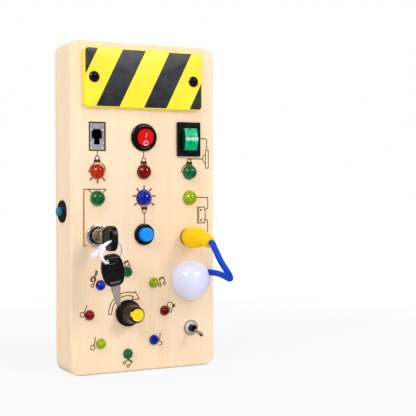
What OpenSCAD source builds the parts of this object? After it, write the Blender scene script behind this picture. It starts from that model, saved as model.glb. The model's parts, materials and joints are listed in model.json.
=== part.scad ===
// Wooden busy board: a routed block of pale wood that carries lamps, switches, a key lock and a plug.
// Millimetres. Seen from the front, +X is right and +Z is up, and the front face looks along -Y.
// The origin is the centre of the bottom face, on which the board stands.

/* [Wooden block] */
// Width of the block
board_w = 131; // [129:1:150]
// Height of the block
board_h = 271; // [268:1:300]
// Thickness of the block
board_t = 35; // [34:1:45]
// Corner radius seen from the front
corner_r = 9; // [6:0.5:12]
// Rounding of the outer edges
edge_r = 1.8; // [1:0.1:3]
// Thickness of the front wall
front_wall = 7; // [6.5:0.5:8]
// Thickness of the side walls
side_wall = 9; // [8:0.5:9.5]
// Thickness of the back panel
panel_t = 4; // [3:0.5:5]
// Width of the ledge that the back panel rests on
ledge_w = 5; // [4:0.5:6]

/* [Rows and columns] */
// Side face to the middle of the outer columns
side_to_column = 23.5; // [23:0.5:26]
// Middle column left of the block's middle
middle_shift = 0.6; // [0:0.1:2]
// Side face to the knob
side_to_knob = 49.7; // [49.5:0.1:54]
// Gap from the top face to the striped plate; the gaps of the rows share out the free height
top_gap = 5.25; // [4:0.05:9]
// Gap from the striped plate to the switches
plate_gap = 9.3; // [8:0.1:13]
// Gap from the switches to the upper big lamps
switch_gap = 8.25; // [6:0.05:11]
// Gap between the two rows of big lamps
lamp_gap = 9.7; // [8:0.1:12]
// Gap from the lower big lamps to the lock's flange
button_gap = 15.2; // [13:0.1:18]
// Gap from the lock's flange to the ring of small lamps
ring_gap = 17.6; // [16:0.1:20]
// Gap from the ring of small lamps to the bottom face
bottom_gap = 11.1; // [9:0.1:13]
// Plug socket below the lock
plug_drop = 3.3; // [1:0.1:4]
// Dome above the knob
dome_rise = 24.9; // [20:0.1:28]
// Toggle switch below the knob
toggle_drop = 15.9; // [12:0.1:20]
// Place of the side button between the lock and the lower big lamps
side_button_share = 0.6457; // [0.63:0.01:0.66]

/* [Striped plate] */
// Width of the striped plate
plate_w = 107; // [95:1:112]
// Height of the striped plate
plate_h = 48.5; // [40:0.5:52]
// Thickness of the striped plate
plate_t = 4; // [3:0.5:5]
// Corner radius of the striped plate
plate_r = 4; // [2:0.5:8]
// Middle of the striped plate left of the block's middle
plate_shift = 1; // [0:0.1:2]
// Screw spacing across the plate
plate_screw_pitch = 90; // [80:1:92]
// Head radius of a plate screw
plate_screw_head_r = 4.5; // [4:0.1:5]

/* [Lamps] */
// Radius of a big lamp lens
big_lens_r = 6; // [5:0.1:6.5]
// Radius of a small lamp lens
small_lens_r = 4; // [3:0.1:4.2]
// Radius of the ring of small lamps
lamp_ring_r = 33.8; // [32:0.1:34]
// Radius of the white dome
dome_r = 16.9; // [15:0.1:17]
// Wall of the white dome
dome_wall = 1.6; // [1.2:0.1:2]

/* [Switches] */
// Outer radius of the round rocker switch
round_bezel_r = 11.5; // [11:0.1:12]
// Radius of the round rocker
round_rocker_r = 8.2; // [8:0.1:8.5]
// Width of the rectangular rocker switch
square_bezel_w = 21.6; // [20:0.1:23]
// Height of the rectangular rocker switch
square_bezel_h = 28.9; // [27:0.1:30]
// Width of the rectangular rocker
square_rocker_w = 12.4; // [11:0.1:14]
// Tilt of each rocker to either side
rocker_tilt = 8; // [5:0.5:9]
// Outer radius of the front button
button_bezel_r = 8.9; // [8.5:0.1:9.2]
// Radius of the front button's cap
button_cap_r = 5.7; // [5:0.1:6.2]
// Height of the front button's cap above the wood
button_cap_h = 7; // [4.5:0.1:7.5]
// Outer radius of the side button
side_bezel_r = 9.2; // [9:0.1:9.4]
// Radius of the side button's cap
side_cap_r = 3.6; // [3.5:0.1:5]
// Height of the side button's cap above the wood
side_cap_h = 5; // [4.5:0.1:6]
// Travel of both buttons
button_travel = 2; // [1:0.1:2]
// Radius of the toggle switch's washer
toggle_washer_r = 6.6; // [6:0.1:7]
// Length of the toggle lever beyond its pivot
toggle_len = 18.5; // [14:0.5:20]
// Tilt of the toggle lever to either side
toggle_tilt = 12; // [10:0.5:15]

/* [Knob] */
// Radius of the knob's skirt
knob_skirt_r = 11; // [10:0.1:12]
// Height of the knob
knob_h = 19.5; // [16:0.5:20]
// Radius of the knob's end
knob_end_r = 6.7; // [6:0.1:7]
// Radius of the yellow cap
knob_cap_r = 5.1; // [5:0.1:5.5]
// Direction of the pointer, anticlockwise from +X
pointer_angle = 168; // [150:1:190]

/* [Lock and keys] */
// Radius of the lock's flange
lock_flange_r = 9; // [8.8:0.1:10]
// Radius of the lock's brass plug
lock_plug_r = 4.4; // [4:0.1:4.8]
// Start of the key's head above the wood
key_head_start = 17.2; // [16:0.1:22]
// Length of a key's head
key_head_len = 22.5; // [18:0.5:24]
// Width of a key's head
key_head_w = 20; // [18:0.5:22]
// Thickness of a key's head
key_head_t = 5; // [4:0.1:5.5]
// Width of the spare key's head
spare_head_w = 18.4; // [17:0.1:20]
// Length of the spare key's head
spare_head_len = 25; // [20:0.5:26]
// Length of the spare key's free blade
key_blade_len = 16; // [14:0.5:20]
// Lean of the hanging key, anticlockwise seen from the front
spare_key_lean = 10; // [0:1:12]

/* [Plug and rope] */
// Largest radius of the plug's grip
plug_grip_r = 8.8; // [8:0.1:9]
// Length of the plug's grip beyond the socket
plug_grip_len = 24; // [22:0.5:27]
// Droop of the rubber boot behind the grip
boot_droop = 12; // [0:1:15]
// Diameter of the blue rope
rope_d = 5.2; // [4.5:0.1:5.4]
// Side face to the rope's hole
rope_hole_inset = 4.7; // [4.6:0.1:5]
// The rope's hole above the middle of the dome
rope_hole_rise = 5.6; // [5.5:0.1:8]

/* [Battery box] */
// Number of batteries
battery_count = 3; // [2:1:3]
// Radius of a battery
battery_r = 5.25; // [5:0.05:5.3]
// Length of a battery without its button
battery_len = 43.5; // [42:0.5:44]
// Middle of the battery box below the middle of the striped plate
battery_drop = 7.5; // [5:0.5:9]

/* [Hidden] */
$fn = 64;
front_y = -board_t / 2;
back_y = board_t / 2;
column_x = board_w / 2 - side_to_column;
middle_x = -middle_shift;
plate_x = -plate_shift;
knob_x = side_to_knob - board_w / 2;
socket_x = column_x - 1.2;
dome_x = column_x - 0.3;

// rows from the top: plate, switches, upper lamps, lower lamps, lock, ring of small lamps
row_heights = [
    plate_h, square_bezel_h - 0.4, 2 * big_lens_r, 2 * big_lens_r, 2 * lock_flange_r,
    2 * (lamp_ring_r + small_lens_r)];
row_gaps = [top_gap, plate_gap, switch_gap, lamp_gap, button_gap, ring_gap, bottom_gap];
spread = (board_h - sum(row_heights, len(row_heights))) / sum(row_gaps, len(row_gaps));
plate_z = row_z(0);
switch_z = row_z(1);
square_z = switch_z - 0.8;   // the rectangular switch sits a little lower
upper_lamp_z = row_z(2);
lower_lamp_z = row_z(3);
button_row_z = row_z(4);
knob_z = row_z(5);
plug_z = button_row_z - plug_drop;
dome_z = knob_z + dome_rise;
toggle_z = knob_z - toggle_drop;
toggle_x = column_x + 0.5;
side_button_z = button_row_z + side_button_share * (lower_lamp_z - button_row_z);

gap = 0.3;          // between a moving piece and its neighbour
seat_gap = 0.2;     // between a piece and the hole it is dropped into
run_gap = 0.05;     // radial clearance of a turning shaft
inner_z = -front_wall;  // inner face of the front wall, in a front component's own frame

// block
cavity_r = 6;
rebate_r = corner_r - side_wall + ledge_w;
cavity_w = board_w - 2 * side_wall;
cavity_h = board_h - 2 * side_wall;
panel_gap = 0.3;
driver_slot_w = 0.6;
panel_screw_r = 1.5;
panel_screw_head_r = 2.3;
driver_slot_len = 1.2 * panel_screw_head_r;
panel_screw_head_t = 1.5;
panel_screw_depth = 7;    // below the panel's inner face
panel_w = cavity_w + 2 * ledge_w - 2 * panel_gap;
panel_h = cavity_h + 2 * ledge_w - 2 * panel_gap;
panel_screw_x = (cavity_w + ledge_w) / 2;
panel_screw_end = 14;     // last screw to the panel's end
panel_screws = [for (x = [-1, 1], k = [-1:2 / 3:1])
    [x * panel_screw_x, board_h / 2 + k * (panel_h / 2 - panel_screw_end)]];

// plate screws
plate_screw_r = 2;
plate_screw_depth = front_wall - 1.5;  // into the wood
plate_screw_head_h = 2.6;
plate_screw_round = 5.6;  // the head is a slice of a ball of this radius
hex_socket_r = 1.5;
hex_socket_h = 1.8;

// lamps
lens_flange = 1.2;
lens_flange_t = 1;
lens_stem = 0.6;
lead_w = 0.6;
big_lead_len = 9;
small_lead_len = 4;
board_ring_t = 1.6;
ring_board_in = lamp_ring_r - 8;
ring_board_out = lamp_ring_r + 2.5;
ring_board_z = inner_z - lens_flange_t - board_ring_t;
colours = ["green", "blue", "red", "yellowgreen"];

// dome
dome_neck_r = 11.8;
dome_neck_wall = 1.5;
dome_ring_t = 3;
dome_lamp_r = 2.4;
dome_lamp_h = 5.5;
dome_ring_r = 14.4;

// round rocker switch
round_bezel_t = 1.8;
round_body_r = 9.9;
round_body_depth = 18;
round_pivot_z = 0.4;
round_well = 5.5;         // depth of the room under the rocker
round_lip = 4.2;          // rim of the rocker above its pivot
round_dip = 3.5;          // middle of the rocker above its pivot
round_play = 0.7;         // by which the disc is smaller than the room it tips in
round_skirt = 2.5;        // rocker below its pivot
plunger_r = 2;
plunger_reach = 6;        // from the pivot
plunger_room = 6;         // below the well
plunger_room_r = 5;
rocker_pin_r = 1;
rocker_pin_reach = 0.9;   // into the housing
terminal_w = 4.8;
terminal_t = 0.8;
terminal_len = 5;

// rectangular rocker switch
square_bezel_t = 2;
square_body_w = 18.6;
square_body_h = 25;
square_body_depth = 18;
square_pivot_z = -0.6;
square_rocker_r = 10;
square_ridge = 8.1;       // ridge of the rocker above its pivot
square_end = 5.9;         // ends of the rocker above its pivot
square_end_in = 0.7;      // by which the ends lean in from the round part
square_waist = 2.4;       // round part of the rocker above its pivot
square_waist_in = 0.4;
square_skirt = 3.5;       // rocker below its pivot
square_plunger_reach = 8;
square_well = 6;          // depth of the room under the rocker
square_room = [8, 14];
square_room_depth = 6;    // below the well
square_opening_h = 2 * (square_rocker_r + gap);

// buttons
button_bezel_h = 2;
button_thread_r = 7.6;
button_nut_r = 10;
nut_t = 2.6;
button_body_len = 14;
button_body_r = 7;
button_stem_r = 2.2;
side_bezel_h = 1.8;
side_thread_r = 7;
side_nut_r = 9.2;
side_body_len = 15;
cap_flange = 0.8;
cap_flange_t = 1;
cap_round = 1;
cap_lip = 1;              // depth of the housing's lip that holds the cap in
cap_back = -cap_lip - gap - cap_flange_t;
button_spring_r = button_stem_r + 1;
button_spring_reach = 4;  // the spring's seat below the wall's inner face

// toggle switch
toggle_bush_r = 3;
toggle_bush_h = 6.5;
toggle_nut_r = 4.6;
toggle_nut_t = 1.8;
toggle_washer_t = 0.8;
toggle_wall = 4;
toggle_recess_r = 9.5;
toggle_body = [8, 13, 10];
toggle_pivot_z = 3.2;
toggle_ball_r = 1.9;
toggle_tip_r = 1.9;
toggle_root_r = 1.15;
toggle_lead_pitch = 4.5;

// rotary switch
shaft_r = 3;
shaft_depth = 7.5;        // below the wall's inner face
rotary_bush_r = 4.5;
rotary_bush_h = 1.6;
rotary_nut_r = 7;
rotary_body_r = 12.5;
rotary_body_depth = 10;
rotary_body_top = 1;
rotary_pins = 12;
rotary_pin = [1.2, 1.8, 3];
knob_base = 0.8;
knob_recess_r = 8.2;
knob_recess_h = 5;
knob_skirt_h = 4.2;
knob_barrel_r = 8;
knob_flutes = 18;
cap_t = 1.2;
pointer_w = 3.4;
pointer_len = 6.4;
detent_step = 45;

// lock
lock_flange_t = 3;
lock_recess_r = 6.9;
lock_barrel_r = 5.5;
lock_barrel_h = 6.4;
lock_plug_h = 7.2;
lock_body_r = 8;
lock_body_len = 20;
lock_nut_r = 10.6;
lock_plug_len = 24;
key_way_w = 2.4;
key_way_h = 6.6;
key_way_len = 20;
key_blade_t = 1.9;
key_blade_w = 6;
key_root_w = 8.4;         // the cut blade where it leaves the head
key_tip_w = 3.4;
key_in_lock = 14;
key_slot_w = 3.4;
key_slot_len = 12.5;
key_head_r = 6.5;
key_head_drop = 1.3;      // the head hangs this far below the blade's middle
key_slot_inset = 4.6;     // middle of the tie's slot to the head's outer end
spare_slot_inset = 5.6;

// places where the tie passes through the head in the lock and the middle of the slot of the hanging one
lock_x = -column_x - 1.3;
tie_y = front_y - key_head_start - key_head_len + key_slot_inset;
tie_top = [lock_x, tie_y, button_row_z - key_head_drop - 1.5];
spare_slot = [lock_x - 1.9, tie_y, button_row_z - 18.7];
tie_r = 0.9;
tie_route = [
    tie_top + [-15.2, 5, -12.6], tie_top + [-11.2, 3, -8], tie_top + [-5.4, 0.6, -2.2], tie_top,
    tie_top + [4.6, 0.2, -0.9], tie_top + [8, 1.6, -6], spare_slot + [10.2, 4.4, 4.6],
    spare_slot + [7, 5, 0.9], spare_slot + [3, 2.8, 0.5], spare_slot, spare_slot + [-3, -2.6, -0.5],
    spare_slot + [-6.8, -4.6, -0.9], spare_slot + [-9.8, -3, 4.6], tie_top + [-9.4, -1, -6.8],
];

// plug and socket
plug_pin_r = 3.15;
plug_pin_len = 22;
socket_flange_r = 7.7;
socket_flange_t = 1.5;
socket_body_r = 6;
socket_body_len = 21;
socket_bore_r = 3.45;
socket_nut_r = 9;
plug_nose_r = 7.6;
plug_neck_r = 7;
boot_len = 14;
boot_end_r = 4.8;
rope_r = rope_d / 2;
rope_gap = 0.4;           // between the rope's round end and the boot

// phone socket
jack_w = 14.5;
jack_h = 23.4;
jack_depth = 17;
jack_sink = 0.6;
port_w = 9.2;
port_h = 6.2;
port_depth = 13;
port_step_w = 6.8;
port_step_h = 1.6;
port_notch_w = 5.1;
port_notch_h = 4.9;
port_lift = 1.4;          // the port's middle above the socket's middle
contact_d = 0.5;
contact_pitch = 1.27;

// battery box
tub_wall = 1.6;
tub_in_w = battery_len + 7;
tub_in_h = battery_count * (2 * battery_r + 1) + 1;
tub_w = tub_in_w + 2 * tub_wall;
tub_h = tub_in_h + 2 * tub_wall;
tub_depth = 2 * battery_r + 1.5 + tub_wall;
tub_flange = 4;
tub_flange_t = 1.6;
tub_z = plate_z - battery_drop;
door_t = panel_t - 0.2;
door_screw_r = 1.2;
door_screw_depth = 6;
door_post_w = 2.8;        // post for a door screw at each end of the tub
door_post_h = 5.4;
tub_r = 2;

// rope: from its hole in the front face to the boot of the plug
rope_hole = [board_w / 2 - rope_hole_inset, dome_z + rope_hole_rise];
rope_hole_depth = 10;
boot_start = [socket_x, front_y - socket_flange_t - plug_grip_len, plug_z];
boot_dir = [0, -cos(boot_droop), -sin(boot_droop)];
rope_end = boot_start + (boot_len + rope_gap) * boot_dir;
rope_route = [
    [rope_hole[0], front_y + rope_hole_depth - gap, rope_hole[1]],
    [rope_hole[0], front_y, rope_hole[1]],
    [61, -27.5, 79.5],
    [60.5, -37.5, 79],
    [59.5, -47.5, 78],
    [58.5, -55.5, 77],
    [56.5, -61.5, 77.5],
    [53.5, -66, 80],
    [50, -68.5, 83.5],
    [46, -70, 88],
    [43, -70, 92.5],
    [41, -69, 97.2],
    [40.2, -66.8, 101],
    [40.3, -63.7, 104],
    rope_end + 3.5 * boot_dir,
    rope_end,
];

// ---------- rows ----------

// Sum of the first n entries of v.
function sum(v, n) = n == 0 ? 0 : v[n - 1] + sum(v, n - 1);

// Height of the middle of row i above the bottom face.
function row_z(i) = board_h - sum(row_heights, i) - row_heights[i] / 2 - spread * sum(row_gaps, i + 1);

// ---------- shared shapes ----------

// Puts a component on the front face: its own +Z points out of the wood, its +Y up.
module on_front(x, z) {
    translate([x, front_y, z]) rotate([90, 0, 0]) children();
}

// Puts a component on the left face: its own +Z points out of the wood, its +X up.
module on_left(z) {
    translate([-board_w / 2, 0, z]) rotate([0, -90, 0]) children();
}

// Puts a component on the back face: its own +Z points out of the wood.
module on_back(x, z) {
    translate([x, back_y, z]) rotate([-90, 0, 0]) children();
}

// Half of the block's rounded edge, seen in section.
module edge_profile(r, t, e) {
    translate([0, -t / 2]) square([r - e, t]);
    translate([0, e - t / 2]) square([r, t - 2 * e]);
    for (s = [-1, 1]) translate([r - e, s * (t / 2 - e)]) circle(e);
}

// A block with round corners of radius r and edges rounded to e, thickness along Z.
module rounded_block(w, h, t, r, e) {
    in_w = w - 2 * r;
    in_h = h - 2 * r;
    cube([in_w, in_h, t], center = true);
    for (i = [0:3]) {
        sx = (i == 0 || i == 3) ? 1 : -1;
        sy = i < 2 ? 1 : -1;
        across = i % 2 == 0 ? in_h : in_w;
        reach = i % 2 == 0 ? in_w : in_h;
        translate([sx * in_w / 2, sy * in_h / 2, 0])
            rotate(90 * i) rotate_extrude(angle = 90) edge_profile(r, t, e);
        rotate(90 * i) translate([reach / 2, 0, 0])
            rotate([90, 0, 0]) linear_extrude(across, center = true) edge_profile(r, t, e);
    }
}

// A flat rectangle with round corners.
module rounded_rect(w, h, r) {
    square([w - 2 * r, h], center = true);
    square([w, h - 2 * r], center = true);
    for (x = [-1, 1], y = [-1, 1]) translate([x * (w / 2 - r), y * (h / 2 - r)]) circle(r);
}

// A plate with round corners from height z0 to z1.
module rounded_plate(w, h, r, z0, z1) {
    translate([0, 0, z0]) linear_extrude(z1 - z0) rounded_rect(w, h, r);
}

// A cylinder from height z0 to z1.
module rod(r, z0, z1) {
    translate([0, 0, z0]) cylinder(h = z1 - z0, r = r);
}

// A ring from height z0 to z1.
module ring(r_out, r_in, z0, z1) {
    difference() {
        rod(r_out, z0, z1);
        rod(r_in, z0 - 1, z1 + 1);
    }
}

// A hexagonal nut with a round bore.
module hex_nut(r, bore_r, z0, z1) {
    difference() {
        translate([0, 0, z0]) cylinder(h = z1 - z0, r = r, $fn = 6);
        rod(bore_r, z0 - 1, z1 + 1);
    }
}

// Half section of a button-shaped bezel: flat rim, rounded shoulder, bore.
module bezel_profile(r_out, r_in, h, round_r) {
    translate([r_in, 0]) square([r_out - r_in, h - round_r]);
    translate([r_in, 0]) square([r_out - round_r - r_in, h]);
    translate([r_out - round_r, h - round_r]) quarter_disc(round_r);
}

// The quarter of a disc that lies above and right of its middle.
module quarter_disc(r) {
    intersection() {
        circle(r);
        square(r);
    }
}

// Half section of a domed lens with a straight stem and a flange behind the wall.
module lens_profile(r) {
    translate([0, lens_stem]) quarter_disc(r);
    translate([0, inner_z - lens_flange_t]) square([r, lens_stem - inner_z + lens_flange_t]);
    translate([0, inner_z - lens_flange_t]) square([r + lens_flange, lens_flange_t]);
}

module lens(r) {
    rotate_extrude() lens_profile(r);
}

// Two square leads of a lamp.
module leads(pitch, len) {
    for (s = [-1, 1])
        translate([s * pitch / 2, 0, inner_z - lens_flange_t - len / 2])
            cube([lead_w, lead_w, len], center = true);
}

// Places its children at each lamp of one colour in the ring; colour 0 starts at the top.
module at_ring_lamps(colour) {
    for (k = [colour, colour + 4]) {
        a = 90 + detent_step * k;
        translate([lamp_ring_r * cos(a), lamp_ring_r * sin(a), 0]) children();
    }
}

// Tube swept along points: a closed polyhedron of round rings that never twist.
function unit(v) = v / norm(v);
function tangent(p, i) = unit(p[min(i + 1, len(p) - 1)] - p[max(i - 1, 0)]);
function square_to(v, t) = unit(v - (v * t) * t);
function carried(p, i, v) = i == len(p) ? [] :
    let (w = square_to(v, tangent(p, i))) concat([w], carried(p, i + 1, w));
function spline_point(a, b, c, d, u) =
    0.5 * (2 * b + (c - a) * u + (2 * a - 5 * b + 4 * c - d) * u * u + (3 * b - a - 3 * c + d) * u * u * u);
function smooth(p, n) = [
    for (i = [0:len(p) - 2], k = [0:n - 1])
        spline_point(p[max(i - 1, 0)], p[i], p[i + 1], p[min(i + 2, len(p) - 1)], k / n),
    p[len(p) - 1]
];

module tube(p, r, sides, start_side) {
    across = carried(p, 0, start_side);
    rings = [for (i = [0:len(p) - 1])
        let (a = across[i], b = cross(tangent(p, i), a))
        for (k = [0:sides - 1]) p[i] + r * (cos(360 * k / sides) * a + sin(360 * k / sides) * b)];
    n = len(p);
    faces = concat(
        [[for (k = [0:sides - 1]) k]],
        [[for (k = [0:sides - 1]) n * sides - 1 - k]],
        [for (i = [0:n - 2], k = [0:sides - 1]) let (a = i * sides, b = a + sides, m = (k + 1) % sides)
            [a + k, b + k, b + m, a + m]]);
    polyhedron(rings, faces);
}

// ---------- wooden case ----------

module wooden_case() {
    color("burlywood") difference() {
        translate([0, 0, board_h / 2]) rotate([90, 0, 0])
            rounded_block(board_w, board_h, board_t, corner_r, edge_r);
        case_cavity();
        front_holes();
        on_left(side_button_z) rod(side_thread_r + seat_gap, -side_wall - 1, 1);
        for (s = panel_screws)
            on_back(s[0], s[1]) rod(panel_screw_r, -panel_t - panel_screw_depth, 1);
    }
}

module case_cavity() {
    translate([0, front_y + front_wall, board_h / 2]) rotate([-90, 0, 0])
        linear_extrude(board_t) rounded_rect(cavity_w, cavity_h, cavity_r);
    translate([0, back_y - panel_t, board_h / 2]) rotate([-90, 0, 0])
        linear_extrude(panel_t + 1)
            rounded_rect(cavity_w + 2 * ledge_w, cavity_h + 2 * ledge_w, rebate_r);
}

module front_holes() {
    deep = -front_wall - 1;
    for (s = [-1, 1]) on_front(plate_x + s * plate_screw_pitch / 2, plate_z)
        rod(plate_screw_r + run_gap, -plate_screw_depth, 1);
    on_front(-column_x, switch_z)
        translate([0, 0, deep]) linear_extrude(1 - deep)
            square([jack_w + 2 * seat_gap, jack_h + 2 * seat_gap], center = true);
    on_front(middle_x, switch_z) rod(round_body_r + seat_gap, deep, 1);
    on_front(socket_x, square_z)
        translate([0, 0, deep]) linear_extrude(1 - deep)
            square([square_body_w + 2 * seat_gap, square_body_h + 2 * seat_gap], center = true);
    for (x = [-column_x, middle_x, column_x], z = [upper_lamp_z, lower_lamp_z])
        on_front(x, z) rod(big_lens_r + seat_gap, deep, 1);
    on_front(knob_x, knob_z) {
        for (c = [0:3]) at_ring_lamps(c) rod(small_lens_r + seat_gap, deep, 1);
        rod(rotary_bush_r + seat_gap, deep, 1);
    }
    on_front(middle_x, button_row_z) rod(button_thread_r + seat_gap, deep, 1);
    on_front(lock_x, button_row_z) rod(lock_body_r + seat_gap, deep, 1);
    on_front(socket_x, plug_z) rod(socket_body_r + seat_gap, deep, 1);
    on_front(dome_x, dome_z) rod(dome_neck_r + seat_gap, deep, 1);
    on_front(toggle_x, toggle_z) {
        rod(toggle_bush_r + seat_gap, deep, 1);
        rod(toggle_recess_r, deep, -toggle_wall);
    }
    on_front(rope_hole[0], rope_hole[1]) rod(rope_r + seat_gap, -rope_hole_depth, 1);
}

module back_panel() {
    color("tan") difference() {
        translate([0, back_y - panel_t, board_h / 2]) rotate([-90, 0, 0])
            linear_extrude(panel_t) rounded_rect(panel_w, panel_h, rebate_r - panel_gap);
        on_back(0, tub_z) rounded_plate(tub_w, tub_h, tub_r, -panel_t - 1, 1);
        for (s = panel_screws) on_back(s[0], s[1]) {
            rod(panel_screw_r + seat_gap, -panel_t - 1, 1);
            rod(panel_screw_head_r + seat_gap, -panel_screw_head_t, 1);
        }
    }
}

module back_panel_screws() {
    color("silver") for (s = panel_screws) on_back(s[0], s[1]) difference() {
        union() {
            rod(panel_screw_r, -panel_t - panel_screw_depth, -panel_screw_head_t);
            rod(panel_screw_head_r, -panel_screw_head_t, 0);
        }
        for (a = [0, 90]) rotate(a)
            cube([driver_slot_len, driver_slot_w, panel_screw_head_t], center = true);
    }
}

// ---------- striped plate ----------

module striped_plate() {
    color("gold") on_front(plate_x, plate_z) difference() {
        rounded_plate(plate_w, plate_h, plate_r, 0, plate_t);
        for (s = [-1, 1])
            translate([s * plate_screw_pitch / 2, 0, 0]) rod(plate_screw_r + seat_gap, -1, plate_t + 1);
    }
}

module striped_plate_screws() {
    head_top = plate_t + plate_screw_head_h;
    color("black") for (s = [-1, 1]) on_front(plate_x + s * plate_screw_pitch / 2, plate_z) difference() {
        union() {
            translate([0, 0, plate_t]) rotate_extrude() intersection() {
                translate([0, plate_screw_head_h - plate_screw_round]) circle(plate_screw_round);
                square([plate_screw_head_r, plate_screw_head_h]);
            }
            rod(plate_screw_r, -plate_screw_depth, plate_t);
        }
        translate([0, 0, head_top - hex_socket_h])
            cylinder(h = hex_socket_h + 1, r = hex_socket_r, $fn = 6);
    }
}

// ---------- phone socket ----------

module port_outline() {
    square([port_w, port_h], center = true);
    translate([-port_step_w / 2, 0]) square([port_step_w, port_h / 2 + port_step_h]);
    translate([-port_notch_w / 2, -port_h / 2 - port_notch_h])
        square([port_notch_w, port_notch_h + port_h / 2]);
}

module phone_socket() {
    flange = 1.2;
    color("gray") on_front(-column_x, switch_z) difference() {
        union() {
            translate([0, 0, -jack_depth]) linear_extrude(jack_depth - jack_sink)
                square([jack_w, jack_h], center = true);
            translate([0, 0, inner_z - flange]) linear_extrude(flange)
                square([jack_w + 3, jack_h + 3], center = true);
        }
        translate([0, port_lift, -jack_sink - port_depth]) linear_extrude(port_depth + 1) port_outline();
    }
}

module phone_contacts() {
    top = port_lift + port_h / 2 + port_step_h;
    color("gold") on_front(-column_x, switch_z)
        for (i = [-1.5:1:1.5])
            translate([i * contact_pitch, top - contact_d / 2, -jack_sink - port_depth / 2 - 2])
                cube([contact_d, contact_d, port_depth - 4.1], center = true);
}

// ---------- rocker switches ----------

module terminals(places) {
    for (p = places) translate([p[0], p[1], p[2] - terminal_len / 2])
        cube([terminal_w, terminal_t, terminal_len], center = true);
}

module round_switch_housing() {
    bore_r = round_rocker_r + gap;
    color("dimgray") on_front(middle_x, switch_z) difference() {
        union() {
            rotate_extrude() bezel_profile(round_bezel_r, bore_r, round_bezel_t, 0.9);
            rod(round_body_r, -round_body_depth, 0);
        }
        rod(bore_r, -round_well, round_bezel_t + 1);
        rod(plunger_room_r, -round_well - plunger_room, -round_well + 1);
        translate([0, 0, round_pivot_z]) rocker_pin(round_rocker_r + gap, run_gap);
    }
}

module round_switch_terminals() {
    color("silver") on_front(middle_x, switch_z)
        terminals([for (y = [-5.5, 0, 5.5]) [0, y, -round_body_depth]]);
}

// Pin across a rocker of half width half_w, thickened by clear where it is the housing's hole.
module rocker_pin(half_w, clear = 0) {
    rotate([0, 90, 0]) rod(rocker_pin_r + clear, -half_w - rocker_pin_reach, half_w + rocker_pin_reach);
}

// A thick disc whose front is cut to a shallow valley.
module round_rocker() {
    disc_r = round_rocker_r - round_play;
    color("red") on_front(middle_x, switch_z) translate([0, 0, round_pivot_z]) rotate([rocker_tilt, 0, 0])
        union() {
            intersection() {
                rod(disc_r, -round_skirt, round_lip);
                rotate([90, 0, 90]) linear_extrude(2 * round_rocker_r, center = true) polygon([
                    [-disc_r, -round_skirt], [disc_r, -round_skirt],
                    [disc_r, round_lip], [0, round_dip], [-disc_r, round_lip]]);
            }
            rocker_pin(round_rocker_r);
            rod(plunger_r, -plunger_reach, 0);
        }
}

module square_switch_housing() {
    color("black") on_front(socket_x, square_z) difference() {
        union() {
            rounded_plate(square_bezel_w, square_bezel_h, 1, 0, square_bezel_t);
            translate([0, 0, -square_body_depth]) linear_extrude(square_body_depth)
                square([square_body_w, square_body_h], center = true);
        }
        translate([0, 0, -square_well]) linear_extrude(square_well + square_bezel_t + 1)
            square([square_rocker_w + 2 * gap, square_opening_h], center = true);
        translate([0, 0, -square_well - square_room_depth]) linear_extrude(square_room_depth + 1)
            square(square_room, center = true);
        translate([0, 0, square_pivot_z]) rocker_pin(square_rocker_w / 2 + gap, run_gap);
    }
}

module square_switch_terminals() {
    color("silver") on_front(socket_x, square_z)
        terminals([for (x = [-4.5, 4.5], y = [-8, 0]) [x, y, -square_body_depth]]);
}

module square_rocker() {
    waist_y = square_rocker_r - square_waist_in;
    end_y = square_rocker_r - square_end_in;
    color("limegreen") on_front(socket_x, square_z) translate([0, 0, square_pivot_z])
        union() {
            rotate([90, 0, 90]) linear_extrude(square_rocker_w, center = true) {
                intersection() {
                    circle(square_rocker_r);
                    translate([-waist_y, -square_skirt]) square([2 * waist_y, square_skirt + square_waist]);
                }
                polygon([
                    [-waist_y, square_waist], [waist_y, square_waist], [end_y, square_end],
                    [0, square_ridge], [-end_y, square_end]]);
            }
            rocker_pin(square_rocker_w / 2);
            rod(plunger_r, -square_plunger_reach, 0);
        }
}

// ---------- lamps ----------

module big_lamp(x, z, c) {
    color(c, 0.8) on_front(x, z) lens(big_lens_r);
}

module lamp_orange() {
    big_lamp(-column_x, upper_lamp_z, "orangered");
}

module lamp_red() {
    big_lamp(middle_x, upper_lamp_z, "crimson");
}

module lamp_green_upper() {
    big_lamp(column_x, upper_lamp_z, "green");
}

module lamp_green_lower() {
    big_lamp(-column_x, lower_lamp_z, "green");
}

module lamp_blue() {
    big_lamp(middle_x, lower_lamp_z, "blue");
}

module lamp_lime() {
    big_lamp(column_x, lower_lamp_z, "yellowgreen");
}

module big_lamp_leads() {
    color("silver") for (x = [-column_x, middle_x, column_x], z = [upper_lamp_z, lower_lamp_z])
        on_front(x, z) leads(2.54, big_lead_len);
}

module ring_lamps(colour) {
    color(colours[colour], 0.8) on_front(knob_x, knob_z) at_ring_lamps(colour) lens(small_lens_r);
}

module ring_lamps_green() {
    ring_lamps(0);
}

module ring_lamps_blue() {
    ring_lamps(1);
}

module ring_lamps_red() {
    ring_lamps(2);
}

module ring_lamps_lime() {
    ring_lamps(3);
}

module ring_board() {
    color("darkgreen") on_front(knob_x, knob_z) difference() {
        ring(ring_board_out, ring_board_in, ring_board_z, ring_board_z + board_ring_t);
        for (c = [0:3]) at_ring_lamps(c) for (s = [-1, 1])
            translate([s * 1.27, 0, ring_board_z]) cube([lead_w + 0.2, lead_w + 0.2, 6], center = true);
    }
}

module ring_lamp_leads() {
    color("silver") on_front(knob_x, knob_z)
        for (c = [0:3]) at_ring_lamps(c) leads(2.54, small_lead_len);
}

// ---------- white dome ----------

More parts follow.
